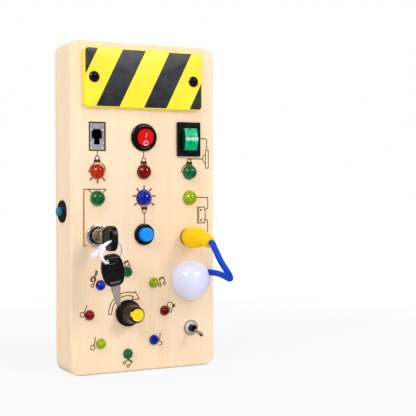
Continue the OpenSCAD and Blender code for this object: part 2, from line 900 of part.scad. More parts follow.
module dome_lens() {
    rim = 1;
    color("white") on_front(dome_x, dome_z) rotate_extrude() {
        translate([0, rim]) difference() {
            quarter_disc(dome_r);
            circle(dome_r - dome_wall);
        }
        translate([dome_neck_r - dome_neck_wall, 0]) square([dome_r - dome_neck_r + dome_neck_wall, rim]);
        translate([dome_neck_r - dome_neck_wall, inner_z - dome_ring_t - 1])
            square([dome_neck_wall, dome_ring_t + 1 - inner_z]);
    }
}

module dome_ring_nut() {
    color("white") on_front(dome_x, dome_z)
        ring(dome_ring_r, dome_neck_r + run_gap, inner_z - dome_ring_t, inner_z);
}

module dome_board() {
    color("darkgreen") on_front(dome_x, dome_z)
        rod(dome_neck_r - dome_neck_wall - run_gap, inner_z - 1.6, inner_z);
}

module dome_lamp() {
    color("lightyellow") on_front(dome_x, dome_z) rotate_extrude() {
        translate([0, inner_z]) square([dome_lamp_r + 0.5, 1]);
        translate([0, inner_z]) square([dome_lamp_r, dome_lamp_h]);
        translate([0, inner_z + dome_lamp_h]) quarter_disc(dome_lamp_r);
    }
}

// ---------- push buttons ----------

// Button housing: bezel, threaded sleeve through a wall, switch body and two terminals behind.
module button_housing(bezel_r, bezel_h, shoulder, cap_r, thread_r, body_r, body_len, wall) {
    bore_r = cap_r + gap;
    difference() {
        union() {
            rotate_extrude() bezel_profile(bezel_r, bore_r, bezel_h, shoulder);
            rod(thread_r, -wall - nut_t - 1, 0);
            rod(body_r, -wall - body_len, -wall - nut_t);
            for (s = [-1, 1]) translate([0, s * 3, -wall - body_len - terminal_len / 2])
                cube([terminal_w / 2, terminal_t, terminal_len], center = true);
        }
        rod(bore_r, -cap_lip, bezel_h + 1);
        rod(cap_r + cap_flange + gap, cap_back - button_travel - gap, -cap_lip);
        rod(button_spring_r + seat_gap, -wall - button_spring_reach, cap_back);
    }
}

// Cap with a hidden flange that keeps it in the housing, and a stem that guides the spring.
module button_cap(cap_r, cap_h, wall) {
    rotate_extrude() {
        translate([0, cap_back]) square([cap_r, cap_h - cap_back - cap_round]);
        square([cap_r - cap_round, cap_h]);
        translate([cap_r - cap_round, cap_h - cap_round]) quarter_disc(cap_round);
        translate([0, cap_back]) square([cap_r + cap_flange, cap_flange_t]);
        translate([0, -wall - button_spring_reach + button_travel + 1])
            square([button_stem_r, wall + button_spring_reach - button_travel]);
    }
}

// Spring under a cap, drawn as a sleeve of its outer size.
module button_spring(wall) {
    ring(button_spring_r, button_stem_r + seat_gap, -wall - button_spring_reach, cap_back);
}

module front_button_housing() {
    color("black") on_front(middle_x, button_row_z)
        button_housing(button_bezel_r, button_bezel_h, button_bezel_h * 0.6, button_cap_r, button_thread_r,
            button_body_r, button_body_len, front_wall);
}

module front_button_nut() {
    color("dimgray") on_front(middle_x, button_row_z)
        hex_nut(button_nut_r, button_thread_r + seat_gap, inner_z - nut_t, inner_z);
}

module front_button_cap() {
    color("deepskyblue") on_front(middle_x, button_row_z)
        button_cap(button_cap_r, button_cap_h, front_wall);
}

module front_button_spring() {
    color("silver") on_front(middle_x, button_row_z) button_spring(front_wall);
}

module side_button_housing() {
    color("black") on_left(side_button_z)
        button_housing(side_bezel_r, side_bezel_h, side_bezel_h * 0.8, side_cap_r, side_thread_r,
            side_thread_r, side_body_len, side_wall);
}

module side_button_nut() {
    color("dimgray") on_left(side_button_z)
        hex_nut(side_nut_r, side_thread_r + seat_gap, -side_wall - nut_t, -side_wall);
}

module side_button_cap() {
    color("teal") on_left(side_button_z) button_cap(side_cap_r, side_cap_h, side_wall);
}

module side_button_spring() {
    color("silver") on_left(side_button_z) button_spring(side_wall);
}

// ---------- lock and keys ----------

module lock_body() {
    color("silver") on_front(lock_x, button_row_z) difference() {
        union() {
            rotate_extrude() bezel_profile(lock_flange_r, lock_recess_r, lock_flange_t, 1);
            rod(lock_body_r, -lock_body_len, 0.8);
            rod(lock_barrel_r, 0, lock_barrel_h);
        }
        rod(lock_plug_r + run_gap, lock_plug_h - lock_plug_len - 1, lock_barrel_h + 1);
    }
}

module lock_nut() {
    color("silver") on_front(lock_x, button_row_z)
        hex_nut(lock_nut_r, lock_body_r + seat_gap, inner_z - nut_t, inner_z);
}

module lock_plug() {
    color("goldenrod") on_front(lock_x, button_row_z) difference() {
        rod(lock_plug_r, lock_plug_h - lock_plug_len, lock_plug_h);
        translate([0, 0, lock_plug_h - key_way_len / 2 + 0.5])
            cube([key_way_w, key_way_h, key_way_len + 1], center = true);
    }
}

// Head lying in the XY plane: outer end at y = 0, blade side at y = -len.
module key_head_shape(w, len, slot_inset) {
    broad = len * 0.7;
    narrow = key_root_w / 2 + 1.2;
    difference() {
        union() {
            translate([0, -broad / 2, 0])
                rounded_plate(w, broad, key_head_r, -key_head_t / 2, key_head_t / 2);
            translate([0, 0, -key_head_t / 2]) linear_extrude(key_head_t) polygon([
                [-w / 2 + 0.7, 2 - broad], [w / 2 - 0.7, 2 - broad],
                [narrow, -len], [-narrow, -len]]);
        }
        translate([0, -slot_inset, 0]) cube([key_slot_len, key_slot_w, key_head_t + 1], center = true);
    }
}

// Key in the lock: its head stands upright and square to the front face.
module key_head() {
    color("black") on_front(lock_x, button_row_z - key_head_drop)
        translate([0, 0, key_head_start + key_head_len]) rotate([90, 0, 90])
            key_head_shape(key_head_w, key_head_len, key_slot_inset);
}

module key_blade() {
    color("silver") on_front(lock_x, button_row_z)
        translate([0, 0, (key_head_start + lock_plug_h - key_in_lock) / 2])
            cube([key_blade_t, key_blade_w, key_head_start - lock_plug_h + key_in_lock], center = true);
}

// Puts the hanging key in place: its own origin is the middle of its tie slot.
module at_spare_key() {
    translate(spare_slot) rotate([0, -spare_key_lean, 0]) rotate([90, 0, 0])
        translate([0, spare_slot_inset, 0]) children();
}

module spare_key_head() {
    color("black") at_spare_key() key_head_shape(spare_head_w, spare_head_len, spare_slot_inset);
}

module spare_key_blade() {
    color("silver") at_spare_key() translate([0, -spare_head_len, -key_blade_t / 2])
        linear_extrude(key_blade_t) polygon([
            [-key_root_w / 2, 0], [key_root_w / 2, 0],
            [key_tip_w / 2, -key_blade_len], [-key_tip_w / 2, -key_blade_len]]);
}

// Nylon strap through both key heads, drawn round; its free end points down to the left.
module cable_tie() {
    color("white") tube(smooth(tie_route, 4), tie_r, 8, [0, 1, 0]);
}

// ---------- plug, socket and rope ----------

module plug_socket() {
    color("dimgray") on_front(socket_x, plug_z) difference() {
        union() {
            rod(socket_flange_r, 0, socket_flange_t);
            rod(socket_body_r, -socket_body_len, 0);
            hex_nut(socket_nut_r, socket_body_r - 1, inner_z - nut_t, inner_z);
        }
        rod(socket_bore_r, -socket_body_len - 1, socket_flange_t + 1);
    }
}

module plug_grip() {
    l = plug_grip_len;
    color("gold") on_front(socket_x, plug_z) translate([0, 0, socket_flange_t]) rotate_extrude() polygon([
        [0, gap], [plug_nose_r, gap], [plug_nose_r, l / 8], [plug_grip_r, l / 6], [plug_grip_r, l * 0.3],
        [plug_grip_r - 0.2, l / 2], [plug_grip_r - 0.7, l * 0.7], [plug_neck_r, l], [0, l]]);
}

module plug_pin() {
    color("silver") on_front(socket_x, plug_z)
        rod(plug_pin_r, socket_flange_t + gap - plug_pin_len, socket_flange_t + gap);
}

module plug_boot() {
    root_r = plug_neck_r - 0.8;
    color("gold") translate(boot_start) difference() {
        rotate([90 + boot_droop, 0, 0]) union() {
            sphere(root_r);
            rotate_extrude() polygon([
                [0, 0], [root_r, 0], [boot_end_r + 0.6, boot_len / 2],
                [boot_end_r, boot_len], [0, boot_len]]);
        }
        translate([-2 * root_r, 0, -2 * root_r]) cube(4 * root_r);
    }
}

module rope() {
    color("royalblue") tube(smooth(rope_route, 3), rope_r, 10, [0, 0, 1]);
}

// ---------- toggle switch ----------

module toggle_switch_body() {
    b = toggle_body;
    color("dimgray") on_front(toggle_x, toggle_z) difference() {
        union() {
            rod(toggle_bush_r, -toggle_wall, toggle_bush_h);
            translate([0, 0, -toggle_wall - b[2] / 2]) cube(b, center = true);
            for (i = [-1:1]) translate([0, i * toggle_lead_pitch, -toggle_wall - b[2] - terminal_len / 2])
                cube([terminal_w / 2, terminal_t, terminal_len], center = true);
        }
        translate([0, 0, toggle_pivot_z]) sphere(toggle_ball_r + run_gap);
        translate([0, 0, toggle_pivot_z]) cylinder(h = toggle_bush_h, r = toggle_ball_r + run_gap);
        rod(toggle_ball_r - 0.3, -toggle_wall - 3, toggle_pivot_z);
    }
}

module toggle_nuts() {
    color("silver") on_front(toggle_x, toggle_z) {
        ring(toggle_washer_r, toggle_bush_r + seat_gap, 0, toggle_washer_t);
        hex_nut(toggle_nut_r, toggle_bush_r + run_gap, toggle_washer_t, toggle_washer_t + toggle_nut_t);
    }
}

module toggle_lever() {
    color("silver") on_front(toggle_x, toggle_z) translate([0, 0, toggle_pivot_z])
        rotate([toggle_tilt, 0, 0]) {
            sphere(toggle_ball_r);
            rotate_extrude() {
                polygon([
                    [0, 0], [toggle_root_r, 0], [toggle_root_r, toggle_ball_r + 0.6],
                    [toggle_tip_r, toggle_len - toggle_tip_r], [0, toggle_len - toggle_tip_r]]);
                intersection() {
                    translate([0, toggle_len - toggle_tip_r]) circle(toggle_tip_r);
                    translate([0, toggle_len - toggle_tip_r]) square(toggle_tip_r);
                }
            }
        }
}

// ---------- knob and rotary switch ----------

module rotary_switch() {
    floor_z = inner_z - rotary_body_top - rotary_body_depth;
    color("dimgray") on_front(knob_x, knob_z) difference() {
        union() {
            rod(rotary_body_r, floor_z, inner_z);
            rod(rotary_bush_r, inner_z, rotary_bush_h + 2);
            hex_nut(rotary_nut_r, rotary_bush_r - 1, 0, rotary_bush_h);
            for (i = [1:rotary_pins]) rotate(360 * i / rotary_pins)
                translate([rotary_body_r - 2 * rotary_pin[0], 0, floor_z - rotary_pin[2] / 2])
                    cube(rotary_pin, center = true);
        }
        rod(shaft_r + run_gap, inner_z - shaft_depth - gap, rotary_bush_h + 3);
    }
}

// Knob and its switch shaft: wide skirt, fluted barrel, hollow below for the nut.
module knob() {
    color("black") on_front(knob_x, knob_z) union() {
        difference() {
            rotate_extrude() polygon([
                [0, knob_base], [knob_skirt_r, knob_base], [knob_skirt_r, knob_base + 1.6],
                [knob_barrel_r + 0.6, knob_skirt_h], [knob_barrel_r, knob_skirt_h + 1],
                [knob_end_r, knob_h - 0.8], [knob_end_r - 0.6, knob_h], [0, knob_h]]);
            rod(knob_recess_r, 0, knob_recess_h - 1.4);
            for (i = [0:knob_flutes - 1]) rotate(360 * i / knob_flutes)
                translate([knob_barrel_r + 0.75, 0, 0]) rod(0.8, knob_skirt_h + 1.2, knob_h - 3);
        }
        rod(shaft_r, inner_z - shaft_depth, knob_recess_h);
    }
}

module knob_cap() {
    color("yellow") on_front(knob_x, knob_z) rotate(pointer_angle) {
        rod(knob_cap_r, knob_h, knob_h + cap_t);
        translate([0, -pointer_w / 2, knob_h]) cube([pointer_len, pointer_w, cap_t]);
    }
}

// ---------- battery box ----------

module at_door_screws() {
    for (s = [-1, 1]) translate([s * (tub_in_w - door_post_w) / 2, 0, 0]) children();
}

module battery_box() {
    rim = -panel_t;
    floor_z = rim - tub_depth;
    color("black") on_back(0, tub_z) difference() {
        union() {
            rounded_plate(tub_w, tub_h, tub_r, floor_z, rim);
            rounded_plate(tub_w + 2 * tub_flange, tub_h + 2 * tub_flange, tub_r + 1,
                rim - tub_flange_t, rim);
        }
        difference() {
            translate([0, 0, floor_z + tub_wall]) linear_extrude(tub_depth)
                square([tub_in_w, tub_in_h], center = true);
            at_door_screws() translate([0, 0, floor_z]) linear_extrude(tub_depth)
                square([door_post_w, door_post_h], center = true);
        }
        at_door_screws() rod(door_screw_r, floor_z + 2 * tub_wall, 1);
    }
}

module batteries() {
    pitch = 2 * battery_r + 1;
    color("steelblue") on_back(0, tub_z)
        for (i = [0:battery_count - 1]) {
            y = (i - (battery_count - 1) / 2) * pitch;
            translate([0, y, -panel_t - tub_depth + tub_wall + battery_r + 0.2]) rotate([0, 90, 0]) {
                rod(battery_r, -battery_len / 2 + 0.4, battery_len / 2 - 1);
                rod(1.9, battery_len / 2 - 1, battery_len / 2);
            }
        }
}

module battery_door() {
    color("black") on_back(0, tub_z) difference() {
        union() {
            rounded_plate(tub_w - 2 * gap, tub_h - 2 * gap, tub_r - gap, -panel_t, -panel_t + door_t);
            at_door_screws() rod(door_screw_r - run_gap, -panel_t - door_screw_depth, -panel_t);
        }
        at_door_screws() ring(2 * door_screw_r, 1.6 * door_screw_r, -panel_t + 0.8 * door_t, 1);
    }
}

wooden_case();
back_panel();
back_panel_screws();
striped_plate();
striped_plate_screws();
phone_socket();
phone_contacts();
round_switch_housing();
round_switch_terminals();
round_rocker();
square_switch_housing();
square_switch_terminals();
square_rocker();
lamp_orange();
lamp_red();
lamp_green_upper();
lamp_green_lower();
lamp_blue();
lamp_lime();
big_lamp_leads();
ring_lamps_green();
ring_lamps_blue();
ring_lamps_red();
ring_lamps_lime();
ring_board();
ring_lamp_leads();
dome_lens();
dome_ring_nut();
dome_board();
dome_lamp();
front_button_housing();
front_button_nut();
front_button_cap();
front_button_spring();
side_button_housing();
side_button_nut();
side_button_cap();
side_button_spring();
lock_body();
lock_nut();
lock_plug();
key_head();
key_blade();
cable_tie();
spare_key_head();
spare_key_blade();
plug_socket();
plug_grip();
plug_pin();
plug_boot();
rope();
toggle_switch_body();
toggle_nuts();
toggle_lever();
rotary_switch();
knob();
knob_cap();
battery_box();
batteries();
battery_door();
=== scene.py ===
"""A wooden busy board: its finishes, lenses, keys, rope and burnt lines, around its solid parts.

Lengths are in metres in the board's own frame: +Z is up, the front face looks along -Y, and the
board stands on z = 0. Pieces on the front face are drawn as (right, up, out) in millimetres.
"""

import json
import logging
import math
from dataclasses import dataclass, field, replace
from enum import Enum
from functools import cache
from typing import Any, Mapping, Sequence

import bpy
import numpy as np
from mathutils import Matrix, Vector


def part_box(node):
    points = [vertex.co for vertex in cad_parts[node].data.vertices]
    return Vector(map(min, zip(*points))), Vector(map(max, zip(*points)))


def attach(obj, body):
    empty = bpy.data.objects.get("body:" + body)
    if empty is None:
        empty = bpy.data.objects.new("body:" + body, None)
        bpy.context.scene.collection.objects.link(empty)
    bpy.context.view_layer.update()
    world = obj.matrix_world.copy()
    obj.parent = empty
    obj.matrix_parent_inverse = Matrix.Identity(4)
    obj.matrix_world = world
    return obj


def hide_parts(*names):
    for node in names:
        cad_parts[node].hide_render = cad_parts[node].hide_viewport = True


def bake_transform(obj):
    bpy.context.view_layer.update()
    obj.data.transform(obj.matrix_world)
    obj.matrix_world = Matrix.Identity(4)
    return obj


LOG = logging.getLogger("busy_board")
MM = 0.001
RIM_STEPS = 6
MARK_SUNK, MARK_PROUD = 0.2, 0.05

Array = np.ndarray
Point = tuple[float, float, float]
Pair = tuple[float, float]
Rgb = tuple[int, int, int]
Line = tuple[Array, bool]
Socket = bpy.types.NodeSocket

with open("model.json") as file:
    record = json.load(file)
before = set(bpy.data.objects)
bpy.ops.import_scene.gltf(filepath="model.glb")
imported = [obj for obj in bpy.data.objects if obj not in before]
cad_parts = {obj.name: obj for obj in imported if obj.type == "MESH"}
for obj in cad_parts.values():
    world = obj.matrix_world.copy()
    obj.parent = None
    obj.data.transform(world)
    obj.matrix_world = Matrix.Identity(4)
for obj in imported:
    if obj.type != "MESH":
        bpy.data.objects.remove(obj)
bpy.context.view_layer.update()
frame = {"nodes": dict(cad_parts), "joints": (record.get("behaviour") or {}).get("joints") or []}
FRONT_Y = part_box("wooden_case")[0].y


# ---------- places ----------


@dataclass(frozen=True)
class Placement:
    """A local frame in the board: an origin in metres and the directions of right, up and out."""

    origin: Point
    right: Point = (1, 0, 0)
    up: Point = (0, 0, 1)
    out: Point = (0, -1, 0)

    def world(self, local: Array) -> Array:
        """Moves points from millimetres into the board's frame: origin + right * x + up * y + out * z."""
        return np.array(self.origin) + MM * local @ np.array([self.right, self.up, self.out], float)

    def shifted(self, right: float, up: float, out: float) -> "Placement":
        """Gives the same frame with its origin moved by that many millimetres."""
        return replace(self, origin=tuple(self.world(np.array([right, up, out], float))))

    def tipped(self, degrees: float) -> "Placement":
        """Gives the frame turned about its right axis, so that a positive angle brings up outwards.

        Args:
            degrees: The angle.

        Returns:
            The turned frame.
        """
        turn = math.radians(degrees)
        up, out = np.array(self.up, float), np.array(self.out, float)
        new_up = up * math.cos(turn) + out * math.sin(turn)
        return replace(self, up=tuple(new_up), out=tuple(out * math.cos(turn) - up * math.sin(turn)))


def on_front(node: str) -> Placement:
    """Gives the frame on the front face at the middle of a solid part."""
    low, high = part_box(node)
    return Placement(((low.x + high.x) / 2, FRONT_Y, (low.z + high.z) / 2))


def joint_place(name: str) -> Array:
    """Gives the pivot of the joint with that name, in metres."""
    return np.array(next(j for j in frame["joints"] if j["name"] == name)["pos_m"], float)


# ---------- lines ----------


def polar(radius: Any, angle: Any) -> Array:
    """Gives the points (r cos a, r sin a) of a radius and an angle in radians, along a last axis."""
    return np.stack([radius * np.cos(angle), radius * np.sin(angle)], axis=-1)


def raised(flat: Array, height: Any) -> Array:
    """Gives points (x, y) a height as their third number."""
    return np.concatenate([flat, np.broadcast_to(height, flat.shape[:-1])[..., None]], axis=-1)


def round_angles(steps: int) -> Array:
    """Gives that many even angles round a circle, in radians."""
    return np.linspace(0, 2 * np.pi, steps, endpoint=False)


def arc(centre: Pair, radius: float, start: float, end: float, steps: int) -> Array:
    """Gives points on a circle from one angle in degrees to another."""
    return np.array(centre) + polar(radius, np.radians(np.linspace(start, end, steps)))


def ripple(angle: Array) -> Array:
    """Gives a smooth wave from zero to one and back in each turn."""
    return 0.5 - 0.5 * np.cos(angle)


def turned(flat: Array, degrees: float) -> Array:
    """Turns points (x, y) anticlockwise about the origin."""
    turn = math.radians(degrees)
    return flat @ np.array([[math.cos(turn), math.sin(turn)], [-math.sin(turn), math.cos(turn)]])


def curve_through(points: Sequence[Sequence[float]], per_span: int, closed: bool = False) -> Array:
    """Draws a Catmull-Rom curve: a cubic between neighbours whose slopes follow the points around.

    Args:
        points: The points it passes through.
        per_span: Steps from one point to the next.
        closed: Whether the last point joins the first.

    Returns:
        The points of the curve.
    """
    given = np.array(points, float)
    if closed:
        padded = np.concatenate([given[-1:], given, given[:2]])
    else:
        padded = np.concatenate([2 * given[:1] - given[1:2], given, 2 * given[-1:] - given[-2:-1]])
    t = (np.arange(per_span) / per_span)[None, :, None]
    a, b, c, d = (padded[k : len(padded) - 3 + k, None, :] for k in range(4))
    square, cube = 2 * a - 5 * b + 4 * c - d, 3 * b - a - 3 * c + d
    flat = (0.5 * (2 * b + (c - a) * t + square * t**2 + cube * t**3)).reshape(-1, given.shape[1])
    return flat if closed else np.concatenate([flat, given[-1:]])


def lengths_along(path: Array) -> Array:
    """Gives the distance walked along a path at each of its points."""
    return np.concatenate([[0.0], np.cumsum(np.linalg.norm(np.diff(path, axis=0), axis=1))])


def even(path: Array, count: int) -> Array:
    """Places that many points at equal distances along a path.

    Args:
        path: The points of the path.
        count: How many to place.

    Returns:
        The points.
    """
    walked = lengths_along(path)
    marks = np.linspace(0, walked[-1], count)
    return np.stack([np.interp(marks, walked, path[:, k]) for k in range(path.shape[1])], axis=1)


def unit(vectors: Array) -> Array:
    """Gives vectors the length of one."""
    return vectors / np.linalg.norm(vectors, axis=-1, keepdims=True)


def outline_normals(outline: Array) -> Array:
    """Gives the unit normals of a closed outline, to the right of its direction.

    Args:
        outline: Points (x, y) of the outline.

    Returns:
        One normal for each point.
    """
    tangent = unit(np.roll(outline, -1, axis=0) - np.roll(outline, 1, axis=0))
    return np.stack([tangent[:, 1], -tangent[:, 0]], axis=1)


def rounded_rectangle(width: float, height: float, radius: float, steps: int = 8) -> Array:
    """Draws a rectangle with round corners about the origin, anticlockwise.

    Args:
        width: Its width.
        height: Its height.
        radius: Radius of its corners.
        steps: Points in each corner.

    Returns:
        The points of its outline.
    """
    x, y = width / 2 - radius, height / 2 - radius
    corners = [(x, y, 0), (-x, y, 90), (-x, -y, 180), (x, -y, 270)]
    return np.concatenate([arc((cx, cy), radius, a, a + 90, steps) for cx, cy, a in corners])


def rounded_levels(low: float, high: float, rim: float, back_rim: float = 0.0) -> Array:
    """Gives the levels of a plate whose front rim, and back rim if asked, is a quarter circle."""
    back = arc((back_rim, low + back_rim), back_rim, 270, 180, RIM_STEPS) if back_rim else [[0.0, low]]
    return np.concatenate([back, arc((rim, high - rim), rim, 180, 90, RIM_STEPS)])


# ---------- surfaces ----------


@dataclass
class Surface:
    """Points in space and the faces between them, as arrays of point numbers."""

    points: Array
    faces: list[Array]
    weave: Array | None = None

    def at(self, place: Placement) -> "Surface":
        """Moves the surface from its local millimetres into the board's frame."""
        return Surface(place.world(self.points), self.faces, self.weave)

    def outward(self) -> "Surface":
        """Turns the faces round if they look inwards, as the sum of a . (b x c) over triangles tells.

        Returns:
            The same surface.
        """
        total = 0.0
        middle = self.points.mean(axis=0)
        for faces in self.faces:
            corners = self.points[faces] - middle
            for k in range(1, faces.shape[1] - 1):
                cross = np.cross(corners[:, k], corners[:, k + 1])
                total += float(np.einsum("ij,ij->", corners[:, 0], cross))
        if total < 0:
            self.faces = [faces[:, ::-1] for faces in self.faces]
        return self


def joined(parts: Sequence[Surface]) -> Surface:
    """Puts several surfaces, each closed by itself, into one.

    Args:
        parts: The surfaces.

    Returns:
        The whole.
    """
    starts = np.cumsum([0] + [len(part.points) for part in parts[:-1]])
    faces = [f + start for part, start in zip(parts, starts) for f in part.faces]
    return Surface(np.concatenate([part.points for part in parts]), faces)


def loft(rings: Array, poles: Sequence[Array] | None = None) -> Surface:
    """Joins closed rings of equal length with quads; two poles close the ends with fans.

    Args:
        rings: Points as rows of rings, shape (rows, columns, 3).
        poles: Points that close the first and last ring, or None where the rings close on themselves.

    Returns:
        The closed surface.
    """
    rows, columns, _ = rings.shape
    i, j = np.meshgrid(np.arange(rows if poles is None else rows - 1), np.arange(columns), indexing="ij")
    after, beside = (i + 1) % rows, (j + 1) % columns
    corners = [i * columns + j, i * columns + beside, after * columns + beside, after * columns + j]
    faces = [np.stack([c.ravel() for c in corners], axis=1)]
    points = rings.reshape(-1, 3)
    if poles is not None:
        total, k = rows * columns, np.arange(columns)
        last, beside = total - columns, (k + 1) % columns
        faces.append(np.stack([np.full(columns, total), beside, k], axis=1))
        faces.append(np.stack([np.full(columns, total + 1), last + k, last + beside], axis=1))
        points = np.concatenate([points, np.array(poles, float)])
    return Surface(points, faces).outward()


def capped(rings: Array) -> Surface:
    """Joins rings and closes both ends at their middles."""
    return loft(rings, (rings[0].mean(axis=0), rings[-1].mean(axis=0)))


def lathe(profile: Array, steps: int = 64) -> Surface:
    """Turns a profile of (radius, out), from pole to pole, about the out axis.

    Args:
        profile: Rows of (radius, out).
        steps: Points round the axis.

    Returns:
        The turned form.
    """
    ring = profile[1:-1]
    rings = raised(polar(ring[:, :1], round_angles(steps)), ring[:, 1:])
    return loft(rings, [np.array([0, 0, profile[k, 1]]) for k in (0, -1)])


def slab(outline: Array, levels: Array) -> Surface:
    """Stacks an anticlockwise outline, drawn in along its normals, at each level, and closes both ends.

    Args:
        outline: Points (x, y) of the closed outline.
        levels: Rows of (inset, height).

    Returns:
        The closed plate.
    """
    flat = outline[None] - levels[:, None, :1] * outline_normals(outline)[None]
    middle = outline.mean(axis=0)
    return loft(raised(flat, levels[:, 1:]), [np.array([*middle, levels[k, 1]]) for k in (0, -1)])


def sweep(path: Array, section: Array, up: Point, turn: Array | float = 0.0) -> Surface:
    """Carries a section along a path: point = path + side * u + across * v.

    Side is square to the path and to up, across is square to both, and turn rolls the section.

    Args:
        path: Points of the middle line.
        section: Closed outline (u, v) for each station.
        up: A direction that the path never follows.
        turn: Roll in degrees, one for all stations or one for each.

    Returns:
        The closed bar.
    """
    tangent = unit(np.gradient(path, axis=0))
    side = unit(np.cross(np.array(up, float), tangent))
    across = np.cross(tangent, side)
    roll = np.radians(np.zeros(len(path)) + turn)[:, None]
    u_axis = side * np.cos(roll) + across * np.sin(roll)
    v_axis = across * np.cos(roll) - side * np.sin(roll)
    rings = path[:, None] + section[..., :1] * u_axis[:, None] + section[..., 1:] * v_axis[:, None]
    return loft(rings, (path[0], path[-1]))


def ribbon(points: Array, width: float, low: float, high: float, closed: bool = False) -> Surface:
    """Makes a flat bar along a line on the face: four corners at each point, mitred at the bends.

    Args:
        points: Points (right, up) of the middle line.
        width: Width of the bar.
        low: Where its back lies.
        high: Where its front lies.
        closed: Whether the last point joins the first.

    Returns:
        The closed bar.
    """
    if closed:
        ahead = unit(np.roll(points, -1, axis=0) - points)
    else:
        ahead = unit(np.diff(points, axis=0, append=2 * points[-1:] - points[-2:-1]))
    behind = np.roll(ahead, 1, axis=0)
    if not closed:
        behind[0] = ahead[0]
    normal = np.stack([-(ahead + behind)[:, 1], (ahead + behind)[:, 0]], axis=1)
    normal /= np.maximum(np.linalg.norm(normal, axis=1, keepdims=True), 1e-9)
    stretch = np.clip(1 / np.maximum(-normal[:, 0] * ahead[:, 1] + normal[:, 1] * ahead[:, 0], 0.5), 1, 2)
    offset = normal * stretch[:, None] * width / 2
    left, right = points + offset, points - offset
    corners = [(left, high), (right, high), (right, low), (left, low)]
    rings = np.stack([raised(p, z) for p, z in corners], axis=1)
    return loft(rings) if closed else capped(rings)


# ---------- wiring of materials ----------


def srgb(screen: Rgb) -> tuple[float, ...]:
    """Turns screen values from 0 to 255 into linear light by the two-part sRGB curve, with alpha 1.

    Args:
        screen: Red, green and blue.

    Returns:
        Linear red, green, blue and alpha.
    """
    part = np.array(screen) / 255
    linear = np.where(part <= 0.04045, part / 12.92, ((part + 0.055) / 1.055) ** 2.4)
    return (*linear.tolist(), 1.0)


class Value:
    """A socket that takes part in sums: each operator adds a Math node."""

    def __init__(self, tree: "Tree", socket: Socket) -> None:
        """Takes the socket and the tree that it is in."""
        self.tree, self.socket = tree, socket

    def __add__(self, other: Any) -> "Value":
        """Adds another value."""
        return self.tree.math("ADD", self, other)

    def __sub__(self, other: Any) -> "Value":
        """Takes another value away."""
        return self.tree.math("SUBTRACT", self, other)

    def __rsub__(self, other: float) -> "Value":
        """Takes this value away from a number."""
        return self.tree.math("SUBTRACT", other, self)

    def __mul__(self, other: Any) -> "Value":
        """Multiplies by another value."""
        return self.tree.math("MULTIPLY", self, other)


class Tree:
    """A node tree that is being wired, with short calls for the nodes that the finishes use."""

    def __init__(self, tree: bpy.types.NodeTree) -> None:
        """Takes the tree to wire."""
        self.tree = tree

    def fill(self, node: bpy.types.Node, inputs: Mapping[Any, Any]) -> None:
        """Feeds sockets of a node: links other sockets into them, or sets values and screen colours.

        Args:
            node: The node.
            inputs: Sockets by name or number, each with what feeds it.
        """
        for name, value in inputs.items():
            socket, value = node.inputs[name], getattr(value, "socket", value)
            if isinstance(value, Socket):
                self.tree.links.new(value, socket)
            else:
                socket.default_value = srgb(value) if socket.type == "RGBA" else value

    def node(self, kind: str, inputs: Mapping[Any, Any] | None = None, **settings: Any) -> bpy.types.Node:
        """Adds a shader node with its own properties, and feeds its sockets.

        Args:
            kind: Its type, without the first word.
            inputs: What feeds its sockets.
            **settings: Its properties.

        Returns:
            The node.
        """
        node = self.tree.nodes.new("ShaderNode" + kind)
        for name, value in settings.items():
            setattr(node, name, value)
        self.fill(node, inputs or {})
        return node

    def math(self, operation: str, a: Any, b: Any = 0.0, clamp: bool = False) -> Value:
        """Adds a Math node."""
        node = self.node("Math", {0: a, 1: b}, operation=operation, use_clamp=clamp)
        return Value(self, node.outputs[0])

    def vector(self, operation: str, a: Any, b: Any = (0, 0, 0), output: str = "Vector") -> Value:
        """Adds a Vector Math node."""
        return Value(self, self.node("VectorMath", {0: a, 1: b}, operation=operation).outputs[output])

    def reach(self, vector: Any) -> Value:
        """Gives the length of a vector."""
        return self.vector("LENGTH", vector, output="Value")

    def mix(self, share: Any, a: Any, b: Any) -> Value:
        """Mixes two colours by a share from zero to one."""
        return Value(self, self.node("Mix", {0: share, 6: a, 7: b}, data_type="RGBA").outputs[2])

    def noise(self, vector: Any, scale: Any, detail: float = 2.0, rough: float = 0.5) -> Value:
        """Gives a noise value between zero and one, mostly near a half."""
        inputs = {"Vector": vector, "Scale": scale, "Detail": detail, "Roughness": rough}
        return Value(self, self.node("TexNoise", inputs).outputs[0])

    def spread(self, value: Any, low: Any, high: Any, to_low: Any = 0.0, to_high: Any = 1.0) -> Value:
        """Maps a value from one range to another with soft ends."""
        inputs = {"Value": value, "From Min": low, "From Max": high, "To Min": to_low, "To Max": to_high}
        return Value(self, self.node("MapRange", inputs, interpolation_type="SMOOTHSTEP").outputs[0])

    def scaled(self, vector: Any, scale: Point, shift: Point = (0, 0, 0)) -> Value:
        """Gives a vector stretched by scale and moved by shift, in that order."""
        inputs = {"Vector": vector, "Scale": scale, "Location": shift}
        return Value(self, self.node("Mapping", inputs).outputs[0])

    def parts(self, vector: Any) -> list[Value]:
        """Splits a vector into its three numbers."""
        return [Value(self, part) for part in self.node("SeparateXYZ", {0: vector}).outputs]


